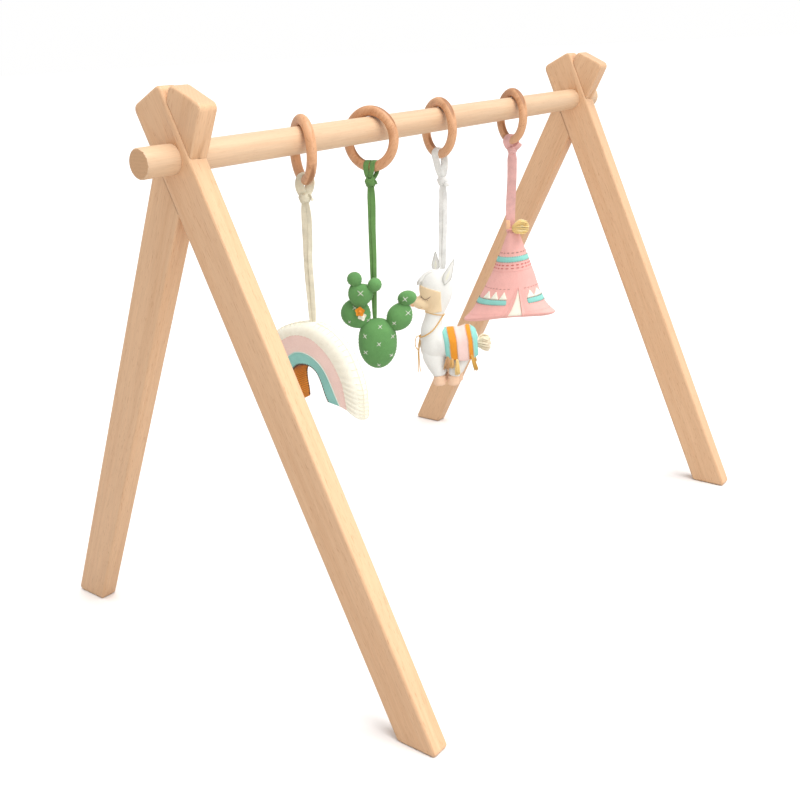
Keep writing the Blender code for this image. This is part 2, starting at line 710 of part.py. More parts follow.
def main():
    clear_scene()
    builder = Builder()
    beech = principled("beech", WOOD, 0.5)
    for side, frame_x in (("near", -FRAME_X), ("far", FRAME_X)):
        a_frame(builder, side, frame_x, beech)
    crossbar(builder, principled("pale_dowel", PALE_WOOD, 0.45))
    ring_wood = principled("ring_wood", RING_WOOD, 0.45)
    colours = {"gold": GOLD, "teal": TEAL, "pink": PINK, "cream": CREAM, "green": GREEN, "white": WHITE,
               "tan": TAN, "rose": ROSE, "cord": CORD}
    felts = {name: felt(f"{name}_felt", colour) for name, colour in colours.items()}
    tapes = {"rainbow": "cream", "cactus": "green", "llama": "white", "teepee": "rose"}
    makers = {"rainbow": rainbow, "cactus": cactus, "llama": llama, "teepee": teepee}
    for toy, hanging in HANGINGS.items():
        ring(builder, toy, hanging, ring_wood)
        tape = felts[tapes[toy]]
        strap_loop(builder, toy, hanging, tape)
        axis = builder.empty(f"{toy}_axis", (hanging["knot"][0], 0.0, 0.0), math.radians(hanging["facing"]))
        strap_tape(builder, toy, hanging, axis, tape)
        makers[toy](builder, axis, felts)


main()
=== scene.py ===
"""The looks of the activity play gym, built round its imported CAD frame."""

import json
import random
from math import acos, copysign, cos, degrees, exp, pi, radians, sin, sqrt, tan, tanh, tau

import bmesh
import bpy
from mathutils import Matrix, Vector
from mathutils.bvhtree import BVHTree


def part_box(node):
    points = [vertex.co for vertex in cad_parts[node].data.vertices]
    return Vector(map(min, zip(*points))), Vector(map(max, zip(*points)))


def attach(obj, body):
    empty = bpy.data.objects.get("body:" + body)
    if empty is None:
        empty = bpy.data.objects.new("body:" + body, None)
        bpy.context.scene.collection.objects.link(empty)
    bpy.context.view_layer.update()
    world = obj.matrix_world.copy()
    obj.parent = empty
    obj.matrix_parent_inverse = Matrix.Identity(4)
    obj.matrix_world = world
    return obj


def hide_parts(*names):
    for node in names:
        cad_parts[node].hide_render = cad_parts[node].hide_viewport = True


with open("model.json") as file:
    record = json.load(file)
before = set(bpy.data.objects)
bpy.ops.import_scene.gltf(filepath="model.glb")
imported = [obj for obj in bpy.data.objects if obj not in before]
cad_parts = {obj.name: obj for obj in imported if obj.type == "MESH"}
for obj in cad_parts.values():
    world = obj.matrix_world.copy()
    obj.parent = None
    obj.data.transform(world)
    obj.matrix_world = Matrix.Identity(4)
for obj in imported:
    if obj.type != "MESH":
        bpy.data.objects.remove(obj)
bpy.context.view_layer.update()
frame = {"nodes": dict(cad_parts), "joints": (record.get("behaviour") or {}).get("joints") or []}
random.seed(7)

MM = 0.001
JOINTS = {joint["name"]: joint for joint in frame["joints"]}
NODES = frame["nodes"]
FACING = {"rainbow": -90.0, "cactus": -51.9, "llama": -55.6, "teepee": -59.5}
LEG_ANGLE = radians(25.6)
UP = Vector((0, 0, 1))
SIM_SCALE = 8.0  # toys are simulated at this size, where the cloth solver behaves well
SIM_QUALITY = 6
CLOTH_MASS = 0.3
CLOTH_STIFFNESS = 15.0
CLOTH_BENDING = 0.4
STILL = 1e-9  # a move or step shorter than this is none
WELD_DISTANCE = 1e-7
WEAVE_PITCH = 0.0009
CURVE_SAMPLES = 400  # places along the rainbow's lines that stitches are counted off


# ---------------------------------------------------------------- materials


class Shader:
    """A Principled material with a short way to add nodes."""

    def __init__(self, name, roughness=0.6, **inputs):
        self.material = bpy.data.materials.new(name)
        self.material.use_nodes = True
        self.tree = self.material.node_tree
        self.principled = self.tree.nodes["Principled BSDF"]
        self.set("Roughness", roughness)
        for key, value in inputs.items():
            self.set(key.replace("_", " "), value)
        self.place = self.add("TexCoord").outputs["Object"]

    def set(self, name, value):
        self.plug(self.principled.inputs[name], value)

    def plug(self, socket, value):
        if isinstance(value, bpy.types.NodeSocket):
            self.tree.links.new(value, socket)
        elif value is not None:
            socket.default_value = value

    def add(self, kind, settings=None, inputs=None):
        node = self.tree.nodes.new("ShaderNode" + kind)
        for key, value in (settings or {}).items():
            setattr(node, key, value)
        for key, value in (inputs or {}).items():
            self.plug(node.inputs[key], value)
        return node

    def math(self, operation, a, b=None):
        return self.add("Math", {"operation": operation}, {0: a, 1: b}).outputs[0]

    def times(self, a, b):
        return self.math("MULTIPLY", a, b)

    def plus(self, a, b):
        return self.math("ADD", a, b)

    def dot(self, direction, place=None):
        inputs = {0: place or self.place, 1: direction}
        return self.add("VectorMath", {"operation": "DOT_PRODUCT"}, inputs).outputs["Value"]

    def space(self, x, y, z):
        return self.add("CombineXYZ", None, {0: x, 1: y, 2: z}).outputs[0]

    def noise(self, vector, scale, detail=3.0, roughness=0.55, distortion=0.0):
        inputs = {"Vector": vector, "Scale": scale, "Detail": detail, "Roughness": roughness,
                  "Distortion": distortion}
        return self.add("TexNoise", None, inputs).outputs["Fac"]

    def ramp(self, factor, stops):
        node = self.add("ValToRGB", None, {0: factor})
        elements = node.color_ramp.elements
        while len(elements) < len(stops):
            elements.new(0.5)
        for element, (position, colour) in zip(elements, stops):
            element.position = position
            element.color = (*colour, 1.0) if isinstance(colour, tuple) else (colour, colour, colour, 1.0)
        return node.outputs["Color"]

    def mix(self, factor, a, b, blend="MIX"):
        node = self.add("Mix", {"data_type": "RGBA", "blend_type": blend})
        self.plug(node.inputs[0], factor)
        for index, value in ((6, a), (7, b)):
            self.plug(node.inputs[index], (*value, 1.0) if isinstance(value, tuple) else value)
        return node.outputs[2]

    def bump(self, height, strength, distance):
        node = self.add("Bump", None, {"Height": height, "Strength": strength, "Distance": distance})
        self.set("Normal", node.outputs[0])


def linear(red, green, blue):
    """An 8-bit sRGB colour as linear values."""
    shares = (red / 255, green / 255, blue / 255)
    return tuple(((c + 0.055) / 1.055) ** 2.4 if c > 0.04 else c / 12.92 for c in shares)


def shaded(colour, share):
    """A colour made darker or lighter."""
    return tuple(min(1.0, value * share) for value in colour)


def wood(name, along, light, dark, fleck, fleck_amount=0.5, end_grain=None):
    """Beech: soft stripes and short flecks along the grain, and rings on the sawn ends."""
    shader = Shader(name, 0.42, Specular_IOR_Level=0.35, Coat_Weight=0.12, Coat_Roughness=0.3)
    along = Vector(along).normalized()
    side = along.orthogonal().normalized()
    a, b, c = shader.dot(along), shader.dot(side), shader.dot(along.cross(side))
    stripes = shader.noise(shader.space(shader.times(a, 0.03), b, c), 170.0, 4.0, 0.6, 0.5)
    broad = shader.noise(shader.space(shader.times(a, 0.10), b, c), 22.0, 2.0, 0.5, 0.3)
    fibre = shader.noise(shader.space(shader.times(a, 0.03), b, c), 900.0, 2.0, 0.7)
    flecks = shader.noise(shader.space(shader.times(a, 0.09), b, c), 1250.0, 1.0, 0.5)
    tone = shader.plus(shader.times(stripes, 0.55), shader.times(broad, 0.45))
    colour = shader.ramp(tone, [(0.32, dark), (0.54, light), (0.70, shaded(light, 1.06))])
    colour = shader.mix(shader.ramp(flecks, [(0.62, 0.0), (0.72, fleck_amount)]), colour, fleck)
    colour = shader.mix(1.0, colour, shader.ramp(fibre, [(0.3, 0.90), (0.7, 1.0)]), "MULTIPLY")
    facing = shader.dot(along, shader.add("NewGeometry").outputs["Normal"])
    sawn = shader.ramp(shader.math("ABSOLUTE", facing), [(0.80, 0.0), (0.92, 1.0)])
    pith = shader.space(0.0, shader.plus(b, 0.021), shader.plus(c, 0.034))
    reach = shader.add("VectorMath", {"operation": "LENGTH"}, {0: pith}).outputs["Value"]
    wobble = shader.times(shader.noise(shader.place, 90.0, 2.0), 0.003)
    rings = shader.math("SINE", shader.times(shader.plus(reach, wobble), 2100.0))
    pores = shader.noise(shader.place, 2300.0, 1.0)
    ends = end_grain or shaded(dark, 0.78)
    grain = shader.plus(shader.times(rings, 0.06), pores)
    end_colour = shader.ramp(grain, [(0.3, shaded(ends, 0.84)), (0.7, ends)])
    shader.set("Base Color", shader.mix(sawn, colour, end_colour))
    shader.set("Roughness", shader.ramp(stripes, [(0.3, 0.36), (0.7, 0.50)]))
    shader.bump(shader.plus(fibre, shader.times(flecks, 0.5)), 0.10, 0.0003)
    return shader.material


def felt(name, colour, variation):
    """Wool felt: matted fibres, a soft bloom at grazing angles and slightly uneven dye."""
    shader = Shader(name, 0.92, Specular_IOR_Level=0.15, Sheen_Weight=0.35, Sheen_Roughness=0.45)
    shader.set("Sheen Tint", (*(min(1.0, v * 0.6 + 0.4) for v in colour), 1.0))
    cloudy = shader.noise(shader.place, 55.0, 3.0)
    matted = shader.noise(shader.place, 900.0, 4.0, 0.7, 1.2)
    strands = shader.noise(shader.place, 2600.0, 2.0, 0.6, 2.5)
    stops = [(0.38, shaded(colour, 1 - variation)), (0.62, shaded(colour, 1 + 0.6 * variation))]
    base = shader.ramp(shader.plus(shader.times(cloudy, 0.5), shader.times(matted, 0.5)), stops)
    speck = shader.ramp(strands, [(0.35, 0.93), (0.65, 1.0)])
    shader.set("Base Color", shader.mix(1.0, base, speck, "MULTIPLY"))
    shader.bump(shader.plus(matted, shader.times(strands, 0.6)), 0.45, 0.0005)
    return shader.material


def tape_cloth(name, colour):
    """Narrow woven cotton tape: fine cross ribs and lengthways yarns."""
    shader = Shader(name, 0.85, Specular_IOR_Level=0.2, Sheen_Weight=0.2, Sheen_Roughness=0.5)
    ribs = shader.math("SINE", shader.times(shader.dot((0.0, 0.0, 1.0)), tau / WEAVE_PITCH))
    yarns = shader.math("SINE", shader.times(shader.dot((0.8, -0.6, 0.0)), tau / (WEAVE_PITCH * 0.8)))
    loose = shader.noise(shader.place, 1800.0, 2.0)
    base = shader.ramp(shader.noise(shader.place, 120.0, 3.0), [(0.35, shaded(colour, 0.84)), (0.65, colour)])
    weave = shader.plus(shader.times(ribs, 0.5), shader.times(yarns, 0.35))
    shade = shader.ramp(shader.plus(shader.times(weave, 0.25), loose), [(0.25, 0.86), (0.75, 1.0)])
    shader.set("Base Color", shader.mix(1.0, base, shade, "MULTIPLY"))
    shader.bump(shader.plus(weave, loose), 0.35, 0.0003)
    return shader.material


def yarn(name, colour, roughness=0.7):
    """Twisted thread, with a light sheen."""
    shader = Shader(name, roughness, Specular_IOR_Level=0.3, Sheen_Weight=0.25)
    twist = shader.noise(shader.place, 2500.0, 2.0, 0.6, 1.0)
    shader.set("Base Color", shader.ramp(twist, [(0.3, shaded(colour, 0.8)), (0.7, colour)]))
    shader.bump(twist, 0.3, 0.0002)
    return shader.material


# Light, dark and fleck colours of each wood, and of its sawn ends
BEECH = (linear(236, 194, 154), linear(228, 182, 140), linear(188, 132, 92), 0.42, linear(232, 188, 150))
DOWEL = (linear(228, 195, 161), linear(219, 182, 147), linear(200, 158, 120), 0.28, linear(216, 172, 130))
RING_WOOD = (linear(226, 174, 132), linear(192, 134, 92), linear(160, 100, 62), 0.55)
# Each felt's colour and how uneven its dye is
FELT_LOOKS = {
    "cream": (255, 254, 238, 0.05), "pink": (255, 225, 217, 0.07), "teal": (156, 219, 212, 0.09),
    "gold": (244, 160, 62, 0.16), "green": (106, 159, 97, 0.14), "white": (246, 246, 243, 0.03),
    "tan": (255, 227, 189, 0.06), "rose": (249, 191, 184, 0.07), "mint": (150, 218, 209, 0.07),
    "orange": (240, 158, 56, 0.10), "blush": (252, 220, 214, 0.05), "peach": (248, 200, 160, 0.06),
    "hoof": (252, 214, 184, 0.06),
}
TAPE_LOOKS = {"rainbow": ("ecru", 240, 235, 212), "cactus": ("green", 112, 160, 92),
              "llama": ("white", 252, 253, 251), "teepee": ("rose", 248, 196, 192)}
# Each thread's colour and roughness
THREAD_LOOKS = {
    "white": (248, 248, 240, 0.7), "cream": (250, 244, 220, 0.7), "green": (160, 194, 134, 0.7),
    "brown": (104, 66, 42, 0.7), "rust": (186, 108, 34, 0.7), "gold": (236, 190, 118, 0.55),
    # The lightest yellow here stands for painted highlights on the teepee's tassel.
    "yellow": (255, 222, 148, 0.55), "olive": (232, 182, 84, 0.6), "pale": (255, 238, 190, 0.6),
    "red": (214, 108, 104, 0.7), "pink": (240, 180, 172, 0.7), "grey": (150, 120, 104, 0.7),
    "mauve": (196, 150, 140, 0.7), "ice": (206, 238, 230, 0.7), "silver": (196, 200, 190, 0.7),
    "tan": (214, 168, 120, 0.7), "tail": (255, 242, 216, 0.9),
}
FELTS = {name: felt(f"{name}_felt", linear(*look[:3]), look[3]) for name, look in FELT_LOOKS.items()}
TAPES = {toy: tape_cloth(f"{look[0]}_tape", linear(*look[1:])) for toy, look in TAPE_LOOKS.items()}
THREADS = {name: yarn(f"{name}_thread", linear(*look[:3]), look[3]) for name, look in THREAD_LOOKS.items()}
TAPE_SLOTS = {"rainbow": "cream_felt", "cactus": "green_felt", "llama": "white_felt", "teepee": "rose_felt"}


# ---------------------------------------------------------------- mesh tools


def link(name, data):
    """A new object in the scene."""
    obj = bpy.data.objects.new(name, data)
    bpy.context.scene.collection.objects.link(obj)
    return obj


def add_object(name, vertices, faces, place=None, weld=True):
    """A new mesh object with its faces turned outwards."""
    mesh = bpy.data.meshes.new(name)
    mesh.from_pydata([tuple(v) for v in vertices], [], faces)
    if place is not None:
        mesh.transform(place)
    shape = bmesh.new()
    shape.from_mesh(mesh)
    if weld:
        bmesh.ops.remove_doubles(shape, verts=shape.verts, dist=WELD_DISTANCE)
    bmesh.ops.recalc_face_normals(shape, faces=shape.faces)
    shape.to_mesh(mesh)
    shape.free()
    return link(name, mesh)


def dress(obj, materials, slot, replaces=(), subdivide=0, body=None):
    """Gives a finished mesh its materials and body, and hides the CAD nodes it stands for.

    A piece rides on the toy that its name starts with, unless a body is given. Its slot is not used."""
    for material in materials:
        obj.data.materials.append(material)
    obj.data.shade_smooth()
    if subdivide:
        modifier = obj.modifiers.new("rounder", "SUBSURF")
        modifier.levels = subdivide
        modifier.render_levels = subdivide
    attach(obj, body or obj.name.split("_")[0] + "_toy")
    if replaces:
        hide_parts(*replaces)


def at(placed, x, y, z):
    """A place given in a toy's own millimetres, in the row frame."""
    return placed @ (Vector((x, y, z)) * MM)


def way(placed, x, y, z):
    """A direction given in a toy's own axes, in the row frame."""
    return placed.to_3x3() @ Vector((x, y, z))


def spline(points, count):
    """Points evenly spread in parameter along a Catmull-Rom curve through the given ones."""
    points = [Vector(p) for p in points]
    spans = len(points) - 1
    result = []
    for step in range(count + 1):
        t = spans * step / count
        i = min(int(t), spans - 1)
        f = t - i
        p1, p2 = points[i], points[i + 1]
        p0 = points[i - 1] if i else p1 * 2 - p2
        p3 = points[i + 2] if i + 2 <= spans else p2 * 2 - p1
        result.append(0.5 * (2 * p1 + (p2 - p0) * f + (2 * p0 - 5 * p1 + 4 * p2 - p3) * f * f
                             + (3 * p1 - p0 - 3 * p2 + p3) * f * f * f))
    return result


def grid_faces(rows, around):
    """Quads between rows + 1 rings of points."""
    quads = []
    for i in range(rows):
        for k in range(around):
            n = (k + 1) % around
            quads.append((i * around + k, i * around + n, (i + 1) * around + n, (i + 1) * around + k))
    return quads


class Strands:
    """Gathers many small tubes into one mesh."""

    def __init__(self):
        self.vertices = []
        self.faces = []

    def include(self, part):
        """Adds another mesh's vertices and faces."""
        offset = len(self.vertices)
        self.vertices += list(part[0])
        self.faces += [tuple(i + offset for i in face) for face in part[1]]

    def tube(self, points, radius, sides=6, taper=0.55, section=None, up=None):
        """A closed tube along points. radius may be a number or a function of the share along it."""
        points = [Vector(p) for p in points]
        last = len(points) - 1
        start = len(self.vertices)
        tangent = (points[1] - points[0]).normalized()
        side = (up.cross(tangent) if up is not None else tangent.orthogonal()).normalized()
        for i, point in enumerate(points):
            ahead = points[min(i + 1, last)] - points[max(i - 1, 0)]
            if ahead.length > STILL:
                tangent = ahead.normalized()
            side = (side - tangent * side.dot(tangent)).normalized()
            other = tangent.cross(side)
            share = i / last
            size = radius(share) if callable(radius) else radius
            if i in (0, last):
                size *= taper
            wide, thick = section(share) if section else (1.0, 1.0)
            for k in range(sides):
                a = tau * k / sides
                self.vertices.append(point + (side * cos(a) * wide + other * sin(a) * thick) * size)
        self.faces += [tuple(start + n for n in face) for face in grid_faces(last, sides)]
        self.faces.append(tuple(start + k for k in reversed(range(sides))))
        self.faces.append(tuple(start + last * sides + k for k in range(sides)))

    def finish(self, name, material, slot, replaces=()):
        dress(add_object(name, self.vertices, self.faces), [material], slot, replaces)


# A tape's cross section, as shares of its half width and half thickness
TAPE_SECTION = ((1.0, -0.35), (1.0, 0.35), (0.86, 1.0), (0.3, 1.0), (-0.3, 1.0), (-0.86, 1.0),
                (-1.0, 0.35), (-1.0, -0.35), (-0.86, -1.0), (-0.3, -1.0), (0.3, -1.0), (0.86, -1.0))
TAPE_HALF_THICK = 0.00055


def ribbon(points, sides, half_width, cyclic=False, width_of=None):
    """Vertices and faces of a flat tape with rounded edges that follows points, lying across sides."""
    count, ring_size = len(points), len(TAPE_SECTION)
    vertices = []
    for i, point in enumerate(points):
        if cyclic:
            tangent = (points[(i + 1) % count] - points[i - 1]).normalized()
        else:
            tangent = (points[min(i + 1, count - 1)] - points[max(i - 1, 0)]).normalized()
        share = i / max(count - 1, 1)
        side = sides(share) if callable(sides) else Vector(sides)
        side = (side - tangent * side.dot(tangent)).normalized()
        normal = tangent.cross(side)
        wide = half_width * (width_of(share) if width_of else 1.0)
        for x, y in TAPE_SECTION:
            vertices.append(point + side * (x * wide) + normal * (y * TAPE_HALF_THICK))
    faces = grid_faces(count if cyclic else count - 1, ring_size)
    if cyclic:
        faces = [tuple(n % len(vertices) for n in face) for face in faces]
    else:
        faces.append(tuple(reversed(range(ring_size))))
        faces.append(tuple((count - 1) * ring_size + k for k in range(ring_size)))
    return vertices, faces


def join_parts(parts):
    """Several (vertices, faces) as one."""
    whole = Strands()
    for part in parts:
        whole.include(part)
    return whole.vertices, whole.faces


def lattice(ni, nj, nk, place):
    """The outside of a block of ni by nj by nk cells, each corner put where place(i, j, k) says."""
    index, vertices, faces = {}, [], []

    def corner(i, j, k):
        key = (i, j, k)
        if key not in index:
            index[key] = len(vertices)
            vertices.append(place(i, j, k))
        return index[key]

    def face(*corners):
        faces.append(tuple(corner(*c) for c in corners))

    for i in range(ni):
        for k in range(nk):
            for j in (0, nj):
                face((i, j, k), (i + 1, j, k), (i + 1, j, k + 1), (i, j, k + 1))
    for j in range(nj):
        for k in range(nk):
            for i in (0, ni):
                face((i, j, k), (i, j + 1, k), (i, j + 1, k + 1), (i, j, k + 1))
    for i in range(ni):
        for j in range(nj):
            for k in (0, nk):
                face((i, j, k), (i + 1, j, k), (i + 1, j + 1, k), (i, j + 1, k))
    return vertices, faces, index


def felt_block(name, size, place, felt_name, slot, replaces=()):
    """A lattice of felt as a finished piece."""
    dress(add_object(name, *lattice(*size, place)[:2]), [FELTS[felt_name]], slot, replaces, 1)


def inflate(obj, pressure, cap, pinned=None, frames=20):
    """Stuffs a closed mesh by a short cloth simulation under pressure, and keeps the result."""
    mesh = obj.data
    rest = [v.co.copy() for v in mesh.vertices]
    mesh.transform(Matrix.Scale(SIM_SCALE, 4))
    modifier = obj.modifiers.new("stuffing", "CLOTH")
    settings = modifier.settings
    settings.quality = SIM_QUALITY
    settings.mass = CLOTH_MASS
    settings.tension_stiffness = CLOTH_STIFFNESS
    settings.compression_stiffness = CLOTH_STIFFNESS
    settings.shear_stiffness = CLOTH_STIFFNESS / 2
    settings.bending_stiffness = CLOTH_BENDING
    settings.use_pressure = True
    settings.uniform_pressure_force = pressure
    settings.effector_weights.gravity = 0.0
    modifier.collision_settings.use_collision = False
    if pinned:
        group = obj.vertex_groups.new(name="pinned")
        for index, weight in pinned.items():
            group.add([index], weight, "REPLACE")
        settings.vertex_group_mass = "pinned"
    modifier.point_cache.frame_start = 1
    modifier.point_cache.frame_end = frames
    scene = bpy.context.scene
    for step in range(1, frames + 1):
        scene.frame_set(step)
    graph = bpy.context.evaluated_depsgraph_get()
    swollen = [v.co / SIM_SCALE for v in obj.evaluated_get(graph).data.vertices]
    obj.modifiers.remove(modifier)
    obj.vertex_groups.clear()
    scene.frame_set(1)
    for vertex, before, after in zip(mesh.vertices, rest, swollen):
        move = after - before
        if move.length > STILL:
            move *= cap * tanh(move.length / cap) / move.length
        vertex.co = before + move
    mesh.update()


def surface_of(obj):
    """A search tree over the finished mesh."""
    graph = bpy.context.evaluated_depsgraph_get()
    bpy.context.view_layer.update()
    evaluated = obj.evaluated_get(graph)
    mesh = evaluated.to_mesh()
    tree = BVHTree.FromPolygons([obj.matrix_world @ v.co for v in mesh.vertices],
                                [tuple(p.vertices) for p in mesh.polygons])
    evaluated.to_mesh_clear()
    return tree


def on_surface(tree, origin, direction, lift=0.0):
    """Where a ray meets the surface, lifted along the normal; the nearest point if it misses."""
    hit, normal = tree.ray_cast(origin, direction)[:2]
    if hit is None:
        hit, normal = tree.find_nearest(origin)[:2]
    if normal.dot(direction) > 0:
        normal = -normal
    return hit + normal * lift, normal


def nearest(tree, point, lift):
    """The surface's nearest point, lifted along its normal by millimetres."""
    hit, normal = tree.find_nearest(point)[:2]
    return hit + normal * (lift * MM)


def stitch(strands, tree, start, end, direction, radius):
    """A short thread laid on a surface: its ends dive in and its middle stands proud."""
    points = []
    for i in range(6):
        bow = sin(pi * i / 5)
        lift = radius * (0.9 * bow + 0.15 - 0.35 * (1 - bow))
        points.append(on_surface(tree, start.lerp(end, i / 5), direction, lift)[0])
    strands.tube(points, radius, 5)


def bridge(strands, start, end, radius, sides=5):
    """A short straight stitch."""
    strands.tube([start, (start + end) / 2, end], radius * MM, sides)


def toy_frame(toy):
    """From a toy's own axes (right, away, up) to the row frame."""
    knot = JOINTS[f"{toy}_sway"]["pos_m"]
    return Matrix.Translation((knot[0], knot[1], 0.0)) @ Matrix.Rotation(radians(FACING[toy]), 4, "Z")


# ---------------------------------------------------------------- wooden frame


def smooth_node(name, material):
    """Gives a CAD node its material and soft edges."""
    obj = NODES[name]
    obj.data.materials.clear()
    obj.data.materials.append(material)
    obj.modifiers.new("weld", "WELD").merge_threshold = 1e-6
    for polygon in obj.data.polygons:
        polygon.use_smooth = True
    normals = obj.modifiers.new("soft_edges", "WEIGHTED_NORMAL")
    normals.keep_sharp = True
    normals.weight = 90


def wooden_frame():
    """Beech legs with the grain along each, and a paler dowel."""
    for side, drift in (("near", 0.02), ("far", -0.015)):
        for leg, lean in (("front", 1), ("back", -1)):
            along = (drift, lean * sin(LEG_ANGLE), cos(LEG_ANGLE))
            smooth_node(f"{side}_{leg}_leg", wood(f"{side}_{leg}_beech", along, *BEECH))
    smooth_node("crossbar", wood("dowel_wood", (1, 0.004, 0.002), *DOWEL))


RING_TUBE = 0.005
RING_AROUND = 96
RING_SIDES = 24


def ring(toy):
    """A turned ring, rounder than its CAD node, with the grain straight across it."""
    joint = JOINTS[f"{toy}_swing"]
    centre = Vector(joint["pos_m"])
    axis = Vector(joint["axis"]).normalized()
    low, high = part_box(f"{toy}_ring")
    middle = (high.z - low.z) / 2 - RING_TUBE
    across = axis.cross(UP)
    vertices = []
    for i in range(RING_AROUND):
        a = tau * i / RING_AROUND
        spoke = across * cos(a) + UP * sin(a)
        for k in range(RING_SIDES):
            b = tau * k / RING_SIDES
            reach = middle + RING_TUBE * cos(b) * (1.0 + 0.03 * cos(2 * b))
            vertices.append(centre + spoke * reach + axis * (RING_TUBE * sin(b)))
    faces = [tuple(n % len(vertices) for n in face) for face in grid_faces(RING_AROUND, RING_SIDES)]
    material = wood(f"{toy}_ring_wood", across * 0.6 + UP * 0.8, *RING_WOOD)
    dress(add_object(f"{toy}_turned_ring", vertices, faces), [material], "ring_wood", [f"{toy}_ring"],
          body=f"{toy}_ring")


# ---------------------------------------------------------------- straps

WRAP_RADIUS = RING_TUBE + 0.0010
WRAP_STEPS = 36
KNOT_STEPS = 28
STRAND_STEPS = 40
TAIL_STEPS = 12
# Per toy: side offset and lean of each wrap over the ring, and its half width, in millimetres
WRAPS = {
    "rainbow": ((0.0, 1.0, 5.6),),
    "cactus": ((-3.7, 2.4, 3.1), (3.6, -2.0, 3.3)),
    "llama": ((-1.5, 1.5, 4.6), (3.8, -1.5, 1.6)),
    "teepee": ((0.2, 2.0, 6.2),),
}
# How far each wrap's tape turns to face outwards on its way down to the knot
TURNS = {"rainbow": 0.9, "cactus": 0.2, "llama": 0.9, "teepee": 0.9}
# Per toy: places of the loose end beyond the knot (right, away, up) and its half width
TAILS = {
    "rainbow": (((2.5, -1.5, 1.5), (5.5, -3.0, 1.0), (8.0, -3.4, -2.5)), 3.0),
    "cactus": (((2.0, -1.5, 0.5), (5.0, -3.0, 0.0), (7.0, -3.4, -2.5)), 2.4),
    "llama": (((2.5, -1.5, 0.5), (4.6, -3.0, -2.0), (5.2, -3.4, -6.5)), 3.0),
    "teepee": (((3.0, -2.5, 1.0), (7.0, -4.0, 4.0), (10.0, -4.2, 8.0)), 2.8),
}
# The two turns of tape round each knot: tilt, the two radii and the tape's half width
KNOT_TURNS = ((0.35, 5.2, 4.4, 3.1), (-0.55, 5.5, 4.8, 2.5))
KNOT_SIZE = (4.6, 4.0, 4.8)
# Per toy: each hanging strand as its half width and its sideways places from top to bottom, in millimetres
STRANDS = {
    "rainbow": ((2.9, (-1.2, -1.8, -2.0, -2.2, -1.9, -1.0, -0.6)),
                (2.4, (1.6, 3.2, 2.6, 1.4, 1.6, 1.8, 1.6))),
    "cactus": ((1.75, (-1.2, -1.4, -1.7, -1.8, -1.8, -1.6, -1.2)),
               (1.85, (1.3, 1.7, 1.3, 1.5, 1.1, 0.5, 0.0))),
    "llama": ((3.0, (-0.6, -0.9, -1.4, -1.6, -1.8, -2.0, -1.6)),
              (2.7, (1.0, 2.6, 2.8, 2.6, 2.0, 1.4, 0.6))),
    "teepee": ((6.0, (0.0, 0.4, 0.6, 0.2, -0.2, 0.0, 0.0)),),
}
STRAND_GAP = 0.8
SEWN_IN = 0.0045
# How much wider each toy's strands are under the knot than at the toy
FLARES = {"rainbow": 0.0, "cactus": 0.65, "llama": 0.0, "teepee": 0.0}
RAINBOW_VIEW = -50.0


def strap_axes(toy):
    """The bottom of the ring's tube, the knot, and unit vectors along the ring's axis and its tangent."""
    swing, sway = JOINTS[f"{toy}_swing"], JOINTS[f"{toy}_sway"]
    axis = Vector(swing["axis"]).normalized()
    if axis.x < 0:
        axis = -axis
    bottom = Vector(swing["pos_m"])
    bottom.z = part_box(f"{toy}_ring")[0].z + RING_TUBE
    return bottom, Vector(sway["pos_m"]), axis, Vector(sway["axis"]).normalized()


def wrap_path(bottom, knot, axis, tangent, offset, lean):
    """A tape from the knot, over the ring's tube and back, as points with a sideways offset."""
    down = knot - bottom
    aside = tangent * offset

    def half(sign):
        waist = tangent * (offset * 0.8 - sign * lean * 0.3)
        return [down - tangent * (sign * lean * 0.4),
                down * 0.55 + axis * (sign * 0.66 * WRAP_RADIUS) + waist,
                aside + (axis * sign - UP * 0.20) * WRAP_RADIUS,
                aside + (axis * (sign * 0.74) + UP * 0.70) * WRAP_RADIUS]

    controls = half(-1) + [aside + UP * (1.02 * WRAP_RADIUS)] + half(1)[::-1]
    return [bottom + point for point in spline(controls, WRAP_STEPS)]


def knot_band(knot, axis, tangent, tilt, wide, deep):
    """One turn of tape round the knot: its points, and the way the tape lies."""
    turn = Matrix.Rotation(tilt, 3, tangent)
    points = []
    for i in range(KNOT_STEPS):
        a = tau * i / KNOT_STEPS
        point = axis * (wide * cos(a)) + tangent * (deep * sin(a)) + UP * (0.5 * sin(2 * a))
        points.append(knot + turn @ point * MM)
    return points, turn @ UP


def core(middle, size, axis, tangent, bumps=0.06):
    """A small uneven lump, with its half sizes along axis, tangent and up in millimetres."""
    rings, around = 9, 16
    vertices = []
    for i in range(rings + 1):
        a = pi * i / rings
        for k in range(around):
            b = tau * k / around
            swell = 1 + bumps * sin(3 * b + 2 * a)
            flat = axis * (cos(b) * size[0]) + tangent * (sin(b) * size[1])
            vertices.append(middle + (flat * (sin(a) * swell) + UP * (cos(a) * size[2])) * MM)
    return vertices, grid_faces(rings, around)


def view_axes(toy):
    """The toy's own right and towards-the-viewer directions."""
    turn = Matrix.Rotation(radians(RAINBOW_VIEW if toy == "rainbow" else FACING[toy]), 3, "Z")
    return turn @ Vector((1, 0, 0)), turn @ Vector((0, -1, 0))


def finish_strap(toy, name, part, parts):
    """Joins a strap's tapes into the piece that stands for one CAD node."""
    obj = add_object(f"{toy}_{name}", *join_parts(parts))
    dress(obj, [TAPES[toy]], TAPE_SLOTS[toy], [f"{toy}_{part}"], 1, f"{toy}_{part}")


